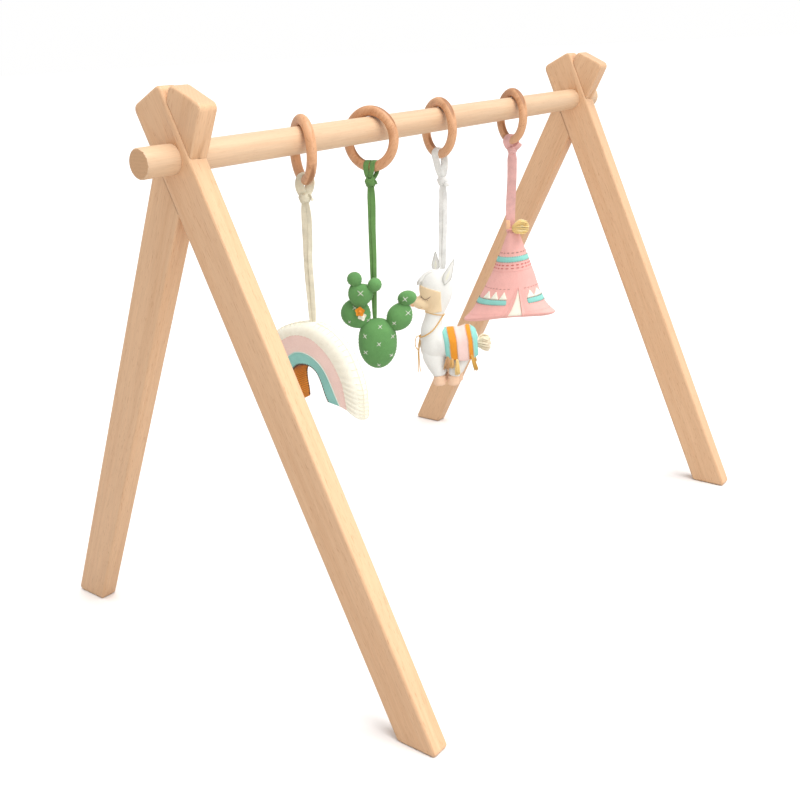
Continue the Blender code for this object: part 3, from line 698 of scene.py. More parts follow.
def strap_loop(toy):
    """The tape tied round the ring: its wraps, its knot and one loose end."""
    axes = strap_axes(toy)
    knot, tangent = axes[1], axes[3]
    right, front = view_axes(toy)
    outward = right if tangent.dot(right) > 0 else -right

    def lie(s):
        turned = TURNS[toy] * min(1.0, abs(s - 0.5) * 2.6) ** 2
        return tangent.lerp(outward, turned) + front * 0.15 * turned

    def pinch(s):
        return 0.55 + 0.45 * sin(pi * s) ** 0.6

    parts = []
    for offset, lean, half_width in WRAPS[toy]:
        path = wrap_path(*axes, offset * MM, lean * MM)
        parts.append(ribbon(path, lie, half_width * MM, width_of=pinch))
    parts.append(core(knot, KNOT_SIZE, right, front))
    for tilt, wide, deep, half_width in KNOT_TURNS:
        points, side = knot_band(knot, right, front, tilt, wide, deep)
        parts.append(ribbon(points, side, half_width * MM, cyclic=True))
    tail, half_width = TAILS[toy]
    points = spline([knot] + [knot + (right * x - front * y + UP * z) * MM for x, y, z in tail], TAIL_STEPS)
    parts.append(ribbon(points, UP * 0.6 + right * -0.4, half_width * MM))
    finish_strap(toy, "tied_loop", "strap_loop", parts)


def strap_tape(toy):
    """The strands between the knot and the toy. They start inside the knot and end inside the toy."""
    knot = Vector(JOINTS[f"{toy}_sway"]["pos_m"])
    foot = Vector((knot.x, knot.y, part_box(f"{toy}_strap")[0].z - SEWN_IN))
    right, front = view_axes(toy)

    def narrow(s):
        ends = 0.62 + 0.38 * min(1.0, s / 0.10) - 0.25 * max(0.0, (s - 0.93) / 0.07)
        return ends * (1.0 + FLARES[toy] * (1.0 - s) ** 1.3)

    parts = []
    for number, (half_width, places) in enumerate(STRANDS[toy]):

        def ripple(s):
            return (right + front * (0.25 * sin(5.0 * s + 2.1 * number))).normalized()

        controls = []
        for i, place in enumerate(places):
            aside = right * (place * MM) + front * ((number - 0.5) * STRAND_GAP * MM)
            controls.append(knot.lerp(foot, i / (len(places) - 1)) + aside)
        parts.append(ribbon(spline(controls, STRAND_STEPS), ripple, half_width * MM, width_of=narrow))
    finish_strap(toy, "hanging_tape", "strap", parts)


# ---------------------------------------------------------------- rainbow

# Right half of each line of the arch from its foot to its top, in millimetres from the arcs' centre
ARCH_LINES = (
    ((25.4, -22.8), (23.4, -14.0), (22.2, -2.0), (19.6, 8.5), (14.2, 15.0), (7.2, 18.3), (0.0, 19.2)),
    ((41.9, -28.3), (39.2, -18.0), (36.6, -5.0), (32.2, 10.5), (24.8, 21.5), (13.6, 29.8), (0.0, 33.2)),
    ((48.8, -33.2), (50.2, -18.0), (50.4, -3.0), (44.6, 17.0), (35.0, 33.0), (20.0, 45.8), (0.0, 50.4)),
    ((60.8, -47.2), (65.4, -31.0), (68.4, -12.0), (64.0, 20.0), (50.0, 43.0), (28.3, 57.6), (0.0, 61.5)),
)
# How much of its width each line keeps on the arch's other side
ARCH_MIRROR = (0.86, 0.97, 1.0, 1.0)
ARCH_FOOT_LIFT = 3.6
ARCH_ROWS = (5, 6, 5)  # rows of faces across the teal, pink and cream bands
ARCH_SEAMS = (0, 5, 11, 16)
ARCH_FELTS = ("cream", "pink", "teal", "gold")
ARCH_STATIONS = 120
ARCH_LAYERS = 8
ARCH_TILT = radians(14.0)
ARCH_CENTRE = (-0.005, 0.0, 0.262)
ARCH_HALF_DEPTH = 0.0128
RIM_HALF_DEPTH = 0.0034
TAPE_CLEAR = 0.0062  # no edge stitches this near the tape's line, where it is sewn in


def arch_depth(band, share, station):
    """Half the arch's thickness: fullest in the middle bands, thin and puckered at the outer rim."""
    if band < 2:
        near, far = ((12.4, 13.8), (13.8, 12.8))[band]
        return (near + (far - near) * share) * MM
    near_foot = exp(-(min(station, ARCH_STATIONS - station) / 24) ** 2)
    pucker = (0.25 + 0.22 * near_foot) * sin(station * 1.9) * sin(pi * min(1.0, 0.25 + share * 0.75))
    return (3.4 + 9.4 * sqrt(max(0.0, 1.0 - share * share)) + pucker) * MM


def rainbow():
    """The arch: one stuffed shape in three bands, with a gold lining under it."""
    lines = []
    for line, kept in zip(ARCH_LINES, ARCH_MIRROR):
        whole = [(x, 0.0, z) for x, z in line]
        for x, z in reversed(line[:-1]):
            whole.append((-x * kept, 0.0, z + ARCH_FOOT_LIFT * min(1.0, max(0.0, -z / 25.0))))
        lines.append(spline(whole, ARCH_STATIONS))
    rows = [(band, i / count) for band, count in enumerate(ARCH_ROWS) for i in range(count)] + [(2, 1.0)]

    def place(i, j, k):
        band, share = rows[i]
        point = lines[band][k].lerp(lines[band + 1][k], share) * MM
        point.y = arch_depth(band, share, k) * (2 * j / ARCH_LAYERS - 1)
        if i == 0 and k > ARCH_STATIONS // 2:
            swell = 1.6 + 3.4 * exp(-((k / ARCH_STATIONS - 0.63) / 0.09) ** 2)
            point.y += swell * MM * j / ARCH_LAYERS
        return point

    vertices, faces, index = lattice(ARCH_SEAMS[-1], ARCH_LAYERS, ARCH_STATIONS, place)
    obj = add_object("rainbow_stuffed_arch", vertices, faces, weld=False)
    pinned = {}
    for (i, j, k), number in index.items():
        if i in ARCH_SEAMS and j in (0, ARCH_LAYERS):
            pinned[number] = 1.0
        elif i == 0:
            pinned[number] = 0.75
        elif k in (0, ARCH_STATIONS):
            pinned[number] = 0.5
    inflate(obj, 5.0, 2.6 * MM, pinned)
    tilt = Matrix.Translation(ARCH_CENTRE) @ Matrix.Rotation(-ARCH_TILT, 4, "Y")
    placed = toy_frame("rainbow") @ tilt
    obj.data.transform(placed)
    dress(obj, [FELTS[name] for name in ARCH_FELTS], "cream_felt",
          ["rainbow_cream_band", "rainbow_pink_band", "rainbow_teal_band", "rainbow_gold_lining"], 1)
    keys = list(index)
    for polygon in obj.data.polygons:
        across = [keys[v][0] for v in polygon.vertices]
        middle = sum(across) / 4
        band = 3 if max(across) == 0 else 0 if middle > ARCH_SEAMS[2] else 1 if middle > ARCH_SEAMS[1] else 2
        polygon.material_index = band
    tree = surface_of(obj)
    for side, sign in (("front", -1), ("back", 1)):
        rainbow_stitches(tree, lines, placed, side, sign)


def rainbow_stitches(tree, lines, placed, side, sign):
    """Blanket stitches along the outer edge, and small dark ones where the lining meets the teal."""
    edge, lining, seams, piping = Strands(), Strands(), Strands(), Strands()
    inner, teal, pink, outer = [spline([p * MM for p in line], CURVE_SAMPLES) for line in lines]
    depth = sign * ARCH_HALF_DEPTH
    rim_depth = sign * RIM_HALF_DEPTH
    hang = toy_frame("rainbow").inverted() @ placed

    def skin(point, y, lift):
        return nearest(tree, placed @ Vector((point.x, y, point.z)), lift)

    def by_tape(point):
        return abs((hang @ point).x) < TAPE_CLEAR

    for i in range(6, 395, 8):
        if by_tape(outer[i]):
            continue
        start = skin(outer[i], rim_depth, 0.25)
        inward = skin(outer[i].lerp(pink[i], 0.20), depth * 0.62, 0.25)
        around = skin(outer[i] * 1.02, rim_depth * 0.1, 0.25)
        edge.tube(spline([inward, start, around], 6), 0.28 * MM, 5)
    for i in range(6, 387, 8):
        if by_tape(outer[i + 4]):
            continue
        path = [skin(outer[i + step], rim_depth, lift) for step, lift in ((0, 0.30), (4, 0.34), (8, 0.30))]
        edge.tube(path, 0.26 * MM, 5)
    for i in range(4, 397, 9):
        inward = skin(inner[i].lerp(teal[i], 0.14), depth, 0.22)
        rim = skin(inner[i], depth * 0.99, 0.25)
        under = skin(inner[i] * 0.99, depth * 0.82, 0.22)
        lining.tube(spline([inward, rim, under], 6), 0.48 * MM, 5)
    lining.tube([skin(inner[i], depth * 0.985, 0.1) for i in range(2, 399, 3)], 0.30 * MM, 5)
    for line in (teal, pink):
        for i in range(3, 395, 7):
            bridge(seams, skin(line[i], depth, 0.02), skin(line[i + 4], depth, 0.02), 0.20)
    piping.tube([skin(teal[i], depth, 0.15) for i in range(2, 399, 3)], 0.55 * MM, 6)
    if side == "back":
        ribs = Strands()
        for i in range(2, 399, 7):
            ribs.tube([skin(inner[i], depth * y / 4, 0.05) for y in range(-4, 5)], 0.34 * MM, 5)
        ribs.finish("rainbow_lining_ribs", THREADS["rust"], "gold_felt")
    piping.finish(f"rainbow_{side}_teal_piping", THREADS["ice"], "teal_felt")
    edge.finish(f"rainbow_{side}_edge_stitches", THREADS["cream"], "cream_felt")
    lining.finish(f"rainbow_{side}_lining_stitches", THREADS["brown"], "gold_felt")
    seams.finish(f"rainbow_{side}_seam_stitches", THREADS["pink"], "pink_felt")


# ---------------------------------------------------------------- cactus

# Half sizes, centre and lean of each stuffed piece in the toy's own axes, as in the CAD
CACTUS_PIECES = {
    "body": ((22.2, 16.0, 29.2), (1.8, 0.0, 275.8), 0.0),
    "left_pad": ((17.2, 11.5, 16.3), (-21.4, 1.5, 310.5), 20.0),
    "middle_pad": ((13.7, 9.5, 12.3), (-15.2, -7.5, 333.1), 0.0),
    "top_bud": ((8.3, 7.8, 7.9), (-21.0, -8.0, 350.5), 0.0),
    "side_bud": ((7.7, 7.0, 7.7), (0.8, -10.4, 344.0), 0.0),
    "right_pad": ((14.5, 11.0, 15.6), (26.8, 0.0, 305.2), 35.0),
    "right_bud": ((10.8, 8.5, 8.2), (35.5, 0.0, 325.7), -8.0),
}
STUFFING_ROOM = 0.97  # each pad starts this much smaller, as the stuffing swells it
# Directions, in degrees from the right, in which each piece is broadened where it meets its neighbour
CACTUS_JOINS = {"left_pad": (-55.0, 75.0), "middle_pad": (-100.0, 130.0, 30.0), "top_bud": (-65.0,),
                "side_bud": (-150.0,), "right_pad": (-125.0, 62.0), "right_bud": (-115.0,),
                "body": (52.0, 128.0)}
# White cross stitches, in the same axes: right, up and size
CACTUS_CROSSES = {
    "middle_pad": ((-15.0, 336.5, 4.0),),
    "left_pad": ((-22.0, 319.0, 3.0), (-28.5, 303.5, 2.0), (-8.0, 303.5, 2.2)),
    "right_bud": ((33.0, 326.0, 3.4),),
    "right_pad": ((36.0, 310.8, 3.6), (20.5, 300.4, 2.8)),
    "body": ((5.0, 297.3, 3.0), (-12.0, 287.6, 2.9), (18.6, 285.6, 2.8), (3.0, 279.0, 2.8),
             (-12.0, 269.4, 2.8), (16.4, 264.4, 2.6), (2.4, 253.8, 2.6)),
}
SEAM_STITCH_PITCH = 3.4


def pad_place(centre, lean):
    """From a pad's own axes to the toy's."""
    return Matrix.Translation([c * MM for c in centre]) @ Matrix.Rotation(radians(lean), 4, "Y")


def pad(name, half_sizes, lean, joins):
    """Two stuffed felt halves sewn together round the outline, built round its front-to-back axis."""
    rings, around = 16, 36
    wide, deep, high = [s * STUFFING_ROOM * MM for s in half_sizes]
    vertices, seam = [], {}
    for i in range(1, rings):
        a = pi * i / rings
        reach = sin(a) ** 0.86
        for k in range(around):
            b = tau * k / around
            if i == rings // 2:
                seam[len(vertices)] = 1.0
            vertices.append((wide * reach * cos(b), -deep * cos(a), high * reach * sin(b)))
    front, back = len(vertices), len(vertices) + 1
    vertices += [(0, -deep, 0), (0, deep, 0)]
    faces = grid_faces(rings - 2, around)
    for k in range(around):
        n = (k + 1) % around
        faces.append((front, n, k))
        faces.append((back, (rings - 2) * around + k, (rings - 2) * around + n))
    obj = add_object(name, vertices, faces)
    inflate(obj, 3.0, 1.2 * MM, seam, 14)
    for join in joins:
        aim = radians(join + lean)
        aim = Vector((cos(aim), 0.0, sin(aim)))
        for vertex in obj.data.vertices:
            facing = max(0.0, vertex.co.normalized().dot(aim)) ** 6
            vertex.co += (aim * 1.6 + vertex.co.normalized() * 0.6) * (facing * MM)
    return obj


def cactus():
    """Seven stuffed felt pads with white crosses and sewn seams, and a flower."""
    placed = toy_frame("cactus")
    toward = way(placed, 0, 1, 0).normalized()
    crosses, seams = Strands(), Strands()
    for piece, (half_sizes, centre, lean) in CACTUS_PIECES.items():
        obj = pad(f"cactus_felt_{piece}", half_sizes, lean, CACTUS_JOINS[piece])
        set_in = placed @ pad_place(centre, lean)
        obj.data.transform(set_in)
        dress(obj, [FELTS["green"]], "green_felt", [f"cactus_{piece}"], 1)
        tree = surface_of(obj)
        for x, z, size in CACTUS_CROSSES.get(piece, ()):
            for turn in (0.7, 2.3):
                turn += random.uniform(-0.15, 0.15)
                reach = size * MM * random.uniform(0.9, 1.15)
                step = Vector((cos(turn), 0, sin(turn))) * reach
                middle = Vector((x * MM, -0.06, z * MM))
                stitch(crosses, tree, placed @ (middle - step), placed @ (middle + step), toward, 0.33 * MM)
        cactus_seam(seams, tree, set_in, half_sizes)
    crosses.finish("cactus_cross_stitches", THREADS["white"], "white_felt")
    seams.finish("cactus_seam_stitches", THREADS["green"], "green_felt")
    cactus_flower(placed)


def cactus_seam(seams, tree, set_in, half_sizes):
    """Blanket stitches over the seam round a pad's outline."""
    wide, high = half_sizes[0], half_sizes[2]
    count = max(10, round(pi * (wide + high) / SEAM_STITCH_PITCH))
    for i in range(count):
        a = tau * i / count
        points = []
        for y, reach in ((-2.3, 0.985), (-1.1, 1.005), (0.0, 1.01), (1.1, 1.005), (2.3, 0.985)):
            spot = at(set_in, wide * cos(a) * reach, y, high * sin(a) * reach)
            points.append(nearest(tree, spot, 0.16))
        seams.tube(points, 0.36 * MM, 5)


# Each layer of the flower: petals, reach, twist, place (right and up), how proud, slot and CAD node
BLOOMS = {
    "orange": (5, 6.3, 1.5, -0.7, 2.4, 3.0, "gold_felt", ["cactus_flower"]),
    "cream": (4, 5.6, 0.3, 1.6, -3.6, 1.0, "cream_felt", ()),
}


def cactus_flower(placed):
    """A felt bloom: an orange cup of folded petals over a cream one."""
    low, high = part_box("cactus_flower")
    toward = way(placed, 0, -1, 0).normalized()
    right = way(placed, 1, 0, 0).normalized()
    for colour, (count, reach, twist, x, z, proud, slot, replaces) in BLOOMS.items():
        centre = (low + high) / 2 + (right * x + UP * z + toward * proud) * MM
        parts = []
        for petal in range(count):
            a = tau * petal / count + twist
            out = right * cos(a) + UP * sin(a)
            side = toward.cross(out)

            def place(i, j, k):
                s, t = i / 6, k / 6 * 2 - 1
                width = sin(pi * min(1.0, 0.18 + 0.82 * s) ** 1.1) ** 0.7
                bend = 1.6 * s * s - 0.9 * (1 - t * t) * s
                thick = (j - 0.5) * 0.9
                return centre + (out * (s * reach * 0.9) + side * (t * width * reach * 0.46)
                                 + toward * (bend + thick)) * MM

            parts.append(lattice(6, 1, 6, place))
        parts.append(core(centre + toward * (1.2 * MM), (2.0, 2.0, 1.8), right, toward))
        obj = add_object(f"cactus_{colour}_bloom", *join_parts(parts))
        dress(obj, [FELTS[colour]], slot, replaces, 1)


# ---------------------------------------------------------------- llama

LIMB_STEPS = 24
FORELOCK_TUFTS = 64
TASSEL_THREADS = 34
TAIL_THREADS = 120
CORD_RADIUS = 0.55 * MM
CORD_SAMPLES = 40
BACK_STITCHES = 64


def ellipsoid(half_sizes, centre, lean=0.0):
    """Vertices and faces of a leaning ellipsoid, all in millimetres and degrees."""
    around, rings = 28, 18
    wide, deep, high = half_sizes
    turn = Matrix.Rotation(radians(lean), 3, "Y")
    vertices = []
    for i in range(rings + 1):
        a = pi * i / rings
        for k in range(around):
            b = tau * k / around
            point = Vector((wide * sin(a) * cos(b), deep * sin(a) * sin(b), high * cos(a)))
            vertices.append((turn @ point + Vector(centre)) * MM)
    return vertices, [(a, d, c, b) for a, b, c, d in grid_faces(rings, around)]


def limb(points, flat):
    """A round limb through (right, away, up, radius) points, closed at both ends."""
    path = spline([p[:3] for p in points], LIMB_STEPS)
    sizes = spline([(p[3], 0, 0) for p in points], LIMB_STEPS)
    strands = Strands()
    strands.tube([p * MM for p in path], lambda s: sizes[round(s * LIMB_STEPS)].x * MM, 20, 0.6,
                 lambda s: (1.0, flat(s)), up=Vector((0, 1, 0)))
    return strands.vertices, strands.faces


def fused(name, parts, voxel, smooth, placed, stuffed=False):
    """Several closed shapes grown into one skin, smoothed and, if stuffed, swollen a little."""
    obj = add_object(name, *join_parts(parts))
    remesh = obj.modifiers.new("skin", "REMESH")
    remesh.mode = "VOXEL"
    remesh.voxel_size = voxel
    remesh.adaptivity = 0.0
    relax = obj.modifiers.new("relax", "SMOOTH")
    relax.factor = 0.6
    relax.iterations = smooth
    graph = bpy.context.evaluated_depsgraph_get()
    mesh = bpy.data.meshes.new_from_object(obj.evaluated_get(graph))
    obj.modifiers.clear()
    obj.data = mesh
    mesh.name = name
    if stuffed:
        inflate(obj, 2.0, 0.8 * MM, None, 12)
    if placed is not None:
        mesh.transform(placed)
    return obj


# Half sizes, centre and lean of the shapes that the body is grown from
LLAMA_TORSO = (((33.0, 17.0, 18.4), (7.5, 0.0, 244.0), -5.0), ((18.4, 15.0, 21.5), (-9.8, 0.0, 240.5), 6.0),
               ((15.0, 14.4, 18.6), (28.0, 0.0, 246.5), 0.0))
LLAMA_HEAD = (((20.0, 13.6, 22.6), (-8.2, 0.0, 311.0), 3.0), ((12.0, 9.2, 7.2), (-25.6, 0.0, 293.6), 13.0))
LLAMA_NOSE = ((3.4, 4.4, 3.6), (-36.4, 0.0, 292.4), 10.0)
LLAMA_NECK = ((-11.5, 0.0, 246.0, 15.5), (-13.6, 0.0, 260.0, 14.2), (-12.0, 0.0, 271.0, 12.2),
              (-10.2, 0.0, 281.0, 11.4), (-6.0, 0.0, 291.0, 12.0), (-2.0, 0.0, 304.0, 13.4),
              (-2.5, 0.0, 318.0, 13.5), (-7.0, 0.0, 327.0, 10.0))


def llama():
    """A white stuffed llama with a felt face, a striped blanket, tassels and a cord."""
    placed = toy_frame("llama")
    torso = [ellipsoid(*shape) for shape in LLAMA_TORSO]
    neck = limb(LLAMA_NECK, lambda s: 0.9)
    head = [ellipsoid(*shape) for shape in LLAMA_HEAD]
    body = fused("llama_felt_body", torso + [neck] + head, 0.0016, 10, None, True)
    llama_face(placed, body)
    body.data.transform(placed)
    dress(body, [FELTS["white"]], "white_felt", ["llama_body"])
    tree = surface_of(body)
    guide = fused("llama_torso_guide", torso, 0.0020, 10, placed, True)
    torso_tree = surface_of(guide)
    bpy.data.objects.remove(guide)
    llama_forelock(placed, tree)
    llama_ears(placed)
    llama_legs(placed)
    llama_blanket(placed, torso_tree)
    llama_tassels(placed)
    llama_tail(placed)
    llama_cord(placed, tree)
    llama_seam(placed, tree)


# The face piece keeps what lies behind each of these planes: a point and an outward direction
FACE_CUTS = (((-2.6, 0, 300.0), (1.0, 0, 0.04)), ((-15.0, 0, 312.6), (0.27, 0, 0.963)),
             ((-11.0, 0, 283.4), (0.16, 0, -0.98)))
# The closed eye's lid, where each lash starts and which way it goes, and the mouth: right and up
EYE_LID = ((-26.4, 303.2), (-24.2, 300.8), (-21.6, 299.8), (-18.6, 300.6), (-14.8, 304.0))
EYE_LASHES = (((-25.2, 301.8), (-1.6, -1.2)), ((-23.2, 300.4), (-1.0, -2.0)),
              ((-21.2, 299.9), (0.0, -2.2)), ((-19.2, 300.3), (1.0, -2.0)))
MOUTH = ((-34.5, 289.6), (-31.0, 288.6), (-27.5, 289.0), (-24.5, 290.6))


def llama_face(placed, body):
    """A tan felt face over the front of the head, with its nose, closed eyes and smile."""
    shape = bmesh.new()
    shape.from_mesh(body.data)
    for point, outward in FACE_CUTS:
        everything = shape.verts[:] + shape.edges[:] + shape.faces[:]
        bmesh.ops.bisect_plane(shape, geom=everything, plane_co=Vector(point) * MM, plane_no=outward,
                               clear_outer=True)
    shape.normal_update()
    for vertex in shape.verts:
        vertex.co += vertex.normal * 0.9 * MM
    mesh = bpy.data.meshes.new("llama_felt_face")
    shape.to_mesh(mesh)
    shape.free()
    face = link("llama_felt_face", mesh)
    mesh.transform(placed)
    thick = face.modifiers.new("thickness", "SOLIDIFY")
    thick.thickness = 1.3 * MM
    thick.offset = -1.0
    dress(face, [FELTS["tan"]], "tan_felt", ["llama_muzzle"])
    tree = surface_of(face)
    nose = fused("llama_felt_nose", [ellipsoid(*LLAMA_NOSE)], 0.0008, 4, placed)
    dress(nose, [FELTS["peach"]], "tan_felt")
    lashes, smile = Strands(), Strands()
    for look in (1, -1):

        def spot(x, z, lift=0.2):
            return on_surface(tree, at(placed, x, -look * 60, z), way(placed, 0, look, 0), lift * MM)[0]

        lashes.tube(spline([spot(*p) for p in EYE_LID], 12), 0.36 * MM, 6)
        for (x, z), (dx, dz) in EYE_LASHES:
            lashes.tube([spot(x, z), spot(x + dx / 2, z + dz / 2, 0.3), spot(x + dx, z + dz)], 0.24 * MM, 5)
        smile.tube(spline([spot(*p) for p in MOUTH], 10), 0.22 * MM, 5)
    lashes.finish("llama_eye_lashes", THREADS["grey"], "tan_felt")
    smile.finish("llama_mouth_stitch", THREADS["tan"], "tan_felt")


def llama_forelock(placed, tree):
    """Tufts of white felt combed forward over the brow, and locks that stand out from it."""
    tufts = Strands()
    for n in range(FORELOCK_TUFTS):
        y = random.uniform(-5.5, 5.5)
        start = Vector((random.uniform(-14.0, -8.0), y * 0.8, random.uniform(331.0, 334.0)))
        end = Vector((random.uniform(-29.5, -26.0), y, random.uniform(315.0, 320.0)))
        stray = 3.4 if n % 6 == 0 else 0.0
        points = []
        for i in range(8):
            share = i / 7
            flat = start.lerp(end, share) + Vector((-4.0, 0, 5.0)) * sin(pi * share)
            points.append(nearest(tree, at(placed, *flat), -0.6 + 1.5 * share + stray * share ** 3))
        tufts.tube(points, lambda s: (1.7 - 0.8 * s) * MM, 6, 0.5)
    tufts.finish("llama_forelock", FELTS["white"], "white_felt")


LEAF_STEPS = 14
LEAF_COLUMNS = 8


def leaf(root, tip, half_width, widest, thick, cup):
    """A pointed felt leaf: half_width at its widest, which comes at the share widest of its length."""
    root, tip = Vector(root), Vector(tip)
    along = (tip - root).normalized()
    across = Vector((0, 1, 0)).cross(along).normalized()
    outward = along.cross(across)

    def place(i, j, k):
        s, t = i / LEAF_STEPS, k / LEAF_COLUMNS * 2 - 1
        rise = min(1.0, s / widest) if s < widest else 1.0 - (s - widest) / (1.0 - widest)
        wide = half_width * (sin(rise * pi / 2) ** 0.8 if s < widest else rise ** 0.9) + 0.15
        bowl = cup * (1 - t * t) * sin(pi * min(1.0, s * 0.9 + 0.1))
        return (root.lerp(tip, s) + across * (t * wide) + outward * (bowl + (j - 0.5) * thick)) * MM

    return lattice(LEAF_STEPS, 1, LEAF_COLUMNS, place)


# Root, tip and half width of each ear
LLAMA_EARS = {"near": ((1.5, -11.4, 317.5), (13.0, -10.0, 347.0), 5.0),
              "far": ((-8.5, 8.5, 329.0), (-8.8, 9.5, 352.5), 4.6)}


def llama_ears(placed):
    """Two felt ears, each with a cream lining and a grey stitched outline."""
    outline = Strands()
    for side, (root, tip, wide) in LLAMA_EARS.items():
        vertices, faces, index = leaf(root, tip, wide, 0.34, 1.5, -1.4)
        steps = range(LEAF_STEPS + 1)
        rim = [index[(i, 0, 0)] for i in steps] + [index[(i, 0, LEAF_COLUMNS)] for i in reversed(steps)]
        path = [placed @ (vertices[n] + Vector((0, -0.0003, 0))) for n in rim]
        outline.tube(path + path[:1], 0.22 * MM, 5)
        ear = add_object(f"llama_felt_{side}_ear", vertices, faces, placed)
        dress(ear, [FELTS["white"]], "white_felt", [f"llama_{side}_ear"], 1)
        low, high = [Vector(root).lerp(Vector(tip), share) + Vector((0, -0.75, 0)) for share in (0.10, 0.80)]
        lining = leaf(low, high, wide * 0.62, 0.32, 0.7, -1.2)[:2]
        dress(add_object(f"llama_{side}_ear_lining", *lining, placed), [FELTS["cream"]], "cream_felt", (), 1)
    outline.finish("llama_ear_outline", THREADS["silver"], "white_felt")


# Each leg's hip and foot (right, away), its radius, and how much thicker its thigh is
LLAMA_LEGS = {
    "front_near": ((-11.5, -5.6), (-4.6, -7.6), 7.7, 1.95),
    "front_far": ((-10.5, 5.6), (-0.6, 7.8), 7.4, 1.80),
    "rear_near": ((25.0, -6.5), (12.6, -7.6), 7.4, 1.34),
    "rear_far": ((26.0, 6.5), (17.6, 7.8), 7.2, 1.34),
}


def llama_legs(placed):
    """Four legs that grow out of the body flat and end round, each with a felt hoof."""
    for place, ((x0, y0), (x1, y1), radius, thigh) in LLAMA_LEGS.items():
        upper = limb(((x0, y0 * 0.6, 249.0, radius * thigh * 0.45),
                      (x0, y0 * 0.8, 240.0, radius * thigh * 0.86),
                      (x0 * 0.88 + x1 * 0.12, y0, 230.0, radius * thigh),
                      (x0 * 0.6 + x1 * 0.4, y0, 220.0, radius * (0.30 + 0.70 * thigh)),
                      (x0 * 0.2 + x1 * 0.8, (y0 + y1) / 2, 211.0, radius * (0.72 + 0.30 * thigh)),
                      (x1, y1, 203.0, radius * 0.95)), lambda s: 0.50 + 0.50 * max(0.0, (s - 0.38) / 0.62))
        hoof = limb([(x1, y1, height, radius * share) for height, share in
                     ((205.0, 0.94), (198.0, 1.02), (193.5, 0.98), (191.5, 0.55))], lambda s: 1.0)
        leg = fused(f"llama_felt_{place}_leg", [upper], 0.0014, 6, placed)
        dress(leg, [FELTS["white"]], "white_felt", [f"llama_{place}_leg"])
        foot = fused(f"llama_felt_{place}_hoof", [hoof], 0.0012, 4, placed)
        dress(foot, [FELTS["hoof"]], "tan_felt")


# Felt, start and end of each strip of the blanket, as shares of its length, and its slot
BLANKET_STRIPES = (("mint", 0.0, 0.14, "teal_felt"), ("orange", 0.14, 0.36, "gold_felt"),
                   ("blush", 0.36, 0.68, "rose_felt"), ("orange", 0.68, 0.82, "gold_felt"),
                   ("mint", 0.82, 1.0, "teal_felt"))
BLANKET_ROWS = 36
BLANKET_DRAPE = 0.60  # the share of each side that lies on the back; the rest hangs free
BLANKET_STITCHES = 74


def blanket_point(placed, tree, share, t, lift):
    """A point on the blanket: share from front to rear, and t from the far hem, -1, to the near one, 1."""
    angle = radians(100.0 * min(1.0, abs(t) / BLANKET_DRAPE)) * (-1 if t < 0 else 1)
    x = 1.8 + 41.0 * share - 3.6 * max(0.0, cos(angle)) ** 1.3
    out = Vector((0, sin(angle), cos(angle)))
    origin = at(placed, *(Vector((x, 0.0, 245.0 + 3.0 * share)) + out * 60))
    point = on_surface(tree, origin, way(placed, *-out), lift * MM)[0]
    fall = max(0.0, abs(t) - BLANKET_DRAPE) / (1 - BLANKET_DRAPE)
    if fall:
        hem = 224.0 + 6.5 * (2 * share - 1) ** 2
        local = placed.inverted() @ point
        local.z += (hem * MM - local.z) * fall
        local.x += 1.6 * MM * fall
        local.y += copysign(1.0, local.y) * (0.5 * sin(share * 14.0) * fall - 1.2 * fall * fall) * MM
        point = placed @ local
    return point


def llama_blanket(placed, tree):
    """Five felt strips over the back, hanging to a hem below the belly on both sides."""
    for number, (colour, start, end, slot) in enumerate(BLANKET_STRIPES):
        columns = max(3, round((end - start) * 26))

        def place(i, j, k):
            rim = i in (0, columns) or k in (0, BLANKET_ROWS)
            lift = (0.90 if rim else 1.25) if j else 0.15
            share = start + (end - start) * (i / columns)
            return blanket_point(placed, tree, share, 2 * k / BLANKET_ROWS - 1, lift)

        felt_block(f"llama_blanket_strip_{number + 1}", (columns, 1, BLANKET_ROWS), place, colour, slot,
                   () if number else ["llama_blanket"])
    sewn = Strands()
    for strip in BLANKET_STRIPES[1:]:
        for n in range(BLANKET_STITCHES):
            t = -0.985 + 1.97 * n / (BLANKET_STITCHES - 1)
            path = [blanket_point(placed, tree, strip[1] + reach, t, 1.45) for reach in (-0.022, 0.0, 0.022)]
            sewn.tube(path, 0.20 * MM, 4)
    sewn.finish("llama_blanket_stitches", THREADS["white"], "white_felt")


def lock(strands, placed, points, count, radius, sides, taper=0.55):
    """A lock of yarn along points given in the toy's own millimetres."""
    strands.tube([at(placed, *p) for p in spline(points, count)], radius * MM, sides, taper)


# Each tassel's place (right, up), rearward drift, length and spread
LLAMA_TASSELS = {"tan": (5.8, 230.0, -2.6, 16.0, 4.0), "gold": (10.8, 227.0, -0.6, 11.0, 3.8),
                 "yellow": (16.6, 226.0, 0.8, 19.0, 3.6), "olive": (34.0, 230.5, 5.6, 18.0, 2.8)}


def llama_tassels(placed):
    """Four thread tassels under the blanket's hem on each side."""
    for side, look in (("near", -1), ("far", 1)):
        for colour, (x, z, drift, length, spread) in LLAMA_TASSELS.items():
            strands = Strands()
            for _ in range(TASSEL_THREADS):
                a, r = random.uniform(0, tau), sqrt(random.random())
                top = Vector((x + 1.2 * r * cos(a), look * (16.4 + 0.7 * r * sin(a)), z + 1.5))
                end = Vector((x + drift + spread * r * cos(a), look * (18.0 + 1.8 * r * sin(a)),
                              z - length * random.uniform(0.82, 1.0)))
                bend = (top + end) / 2 + Vector((0.4 * cos(a), look * 0.8, 0))
                lock(strands, placed, [top, bend, end], 5, 0.40, 4, 0.6)
            strands.finish(f"llama_{side}_{colour}_tassel", THREADS[colour], "cord_thread")


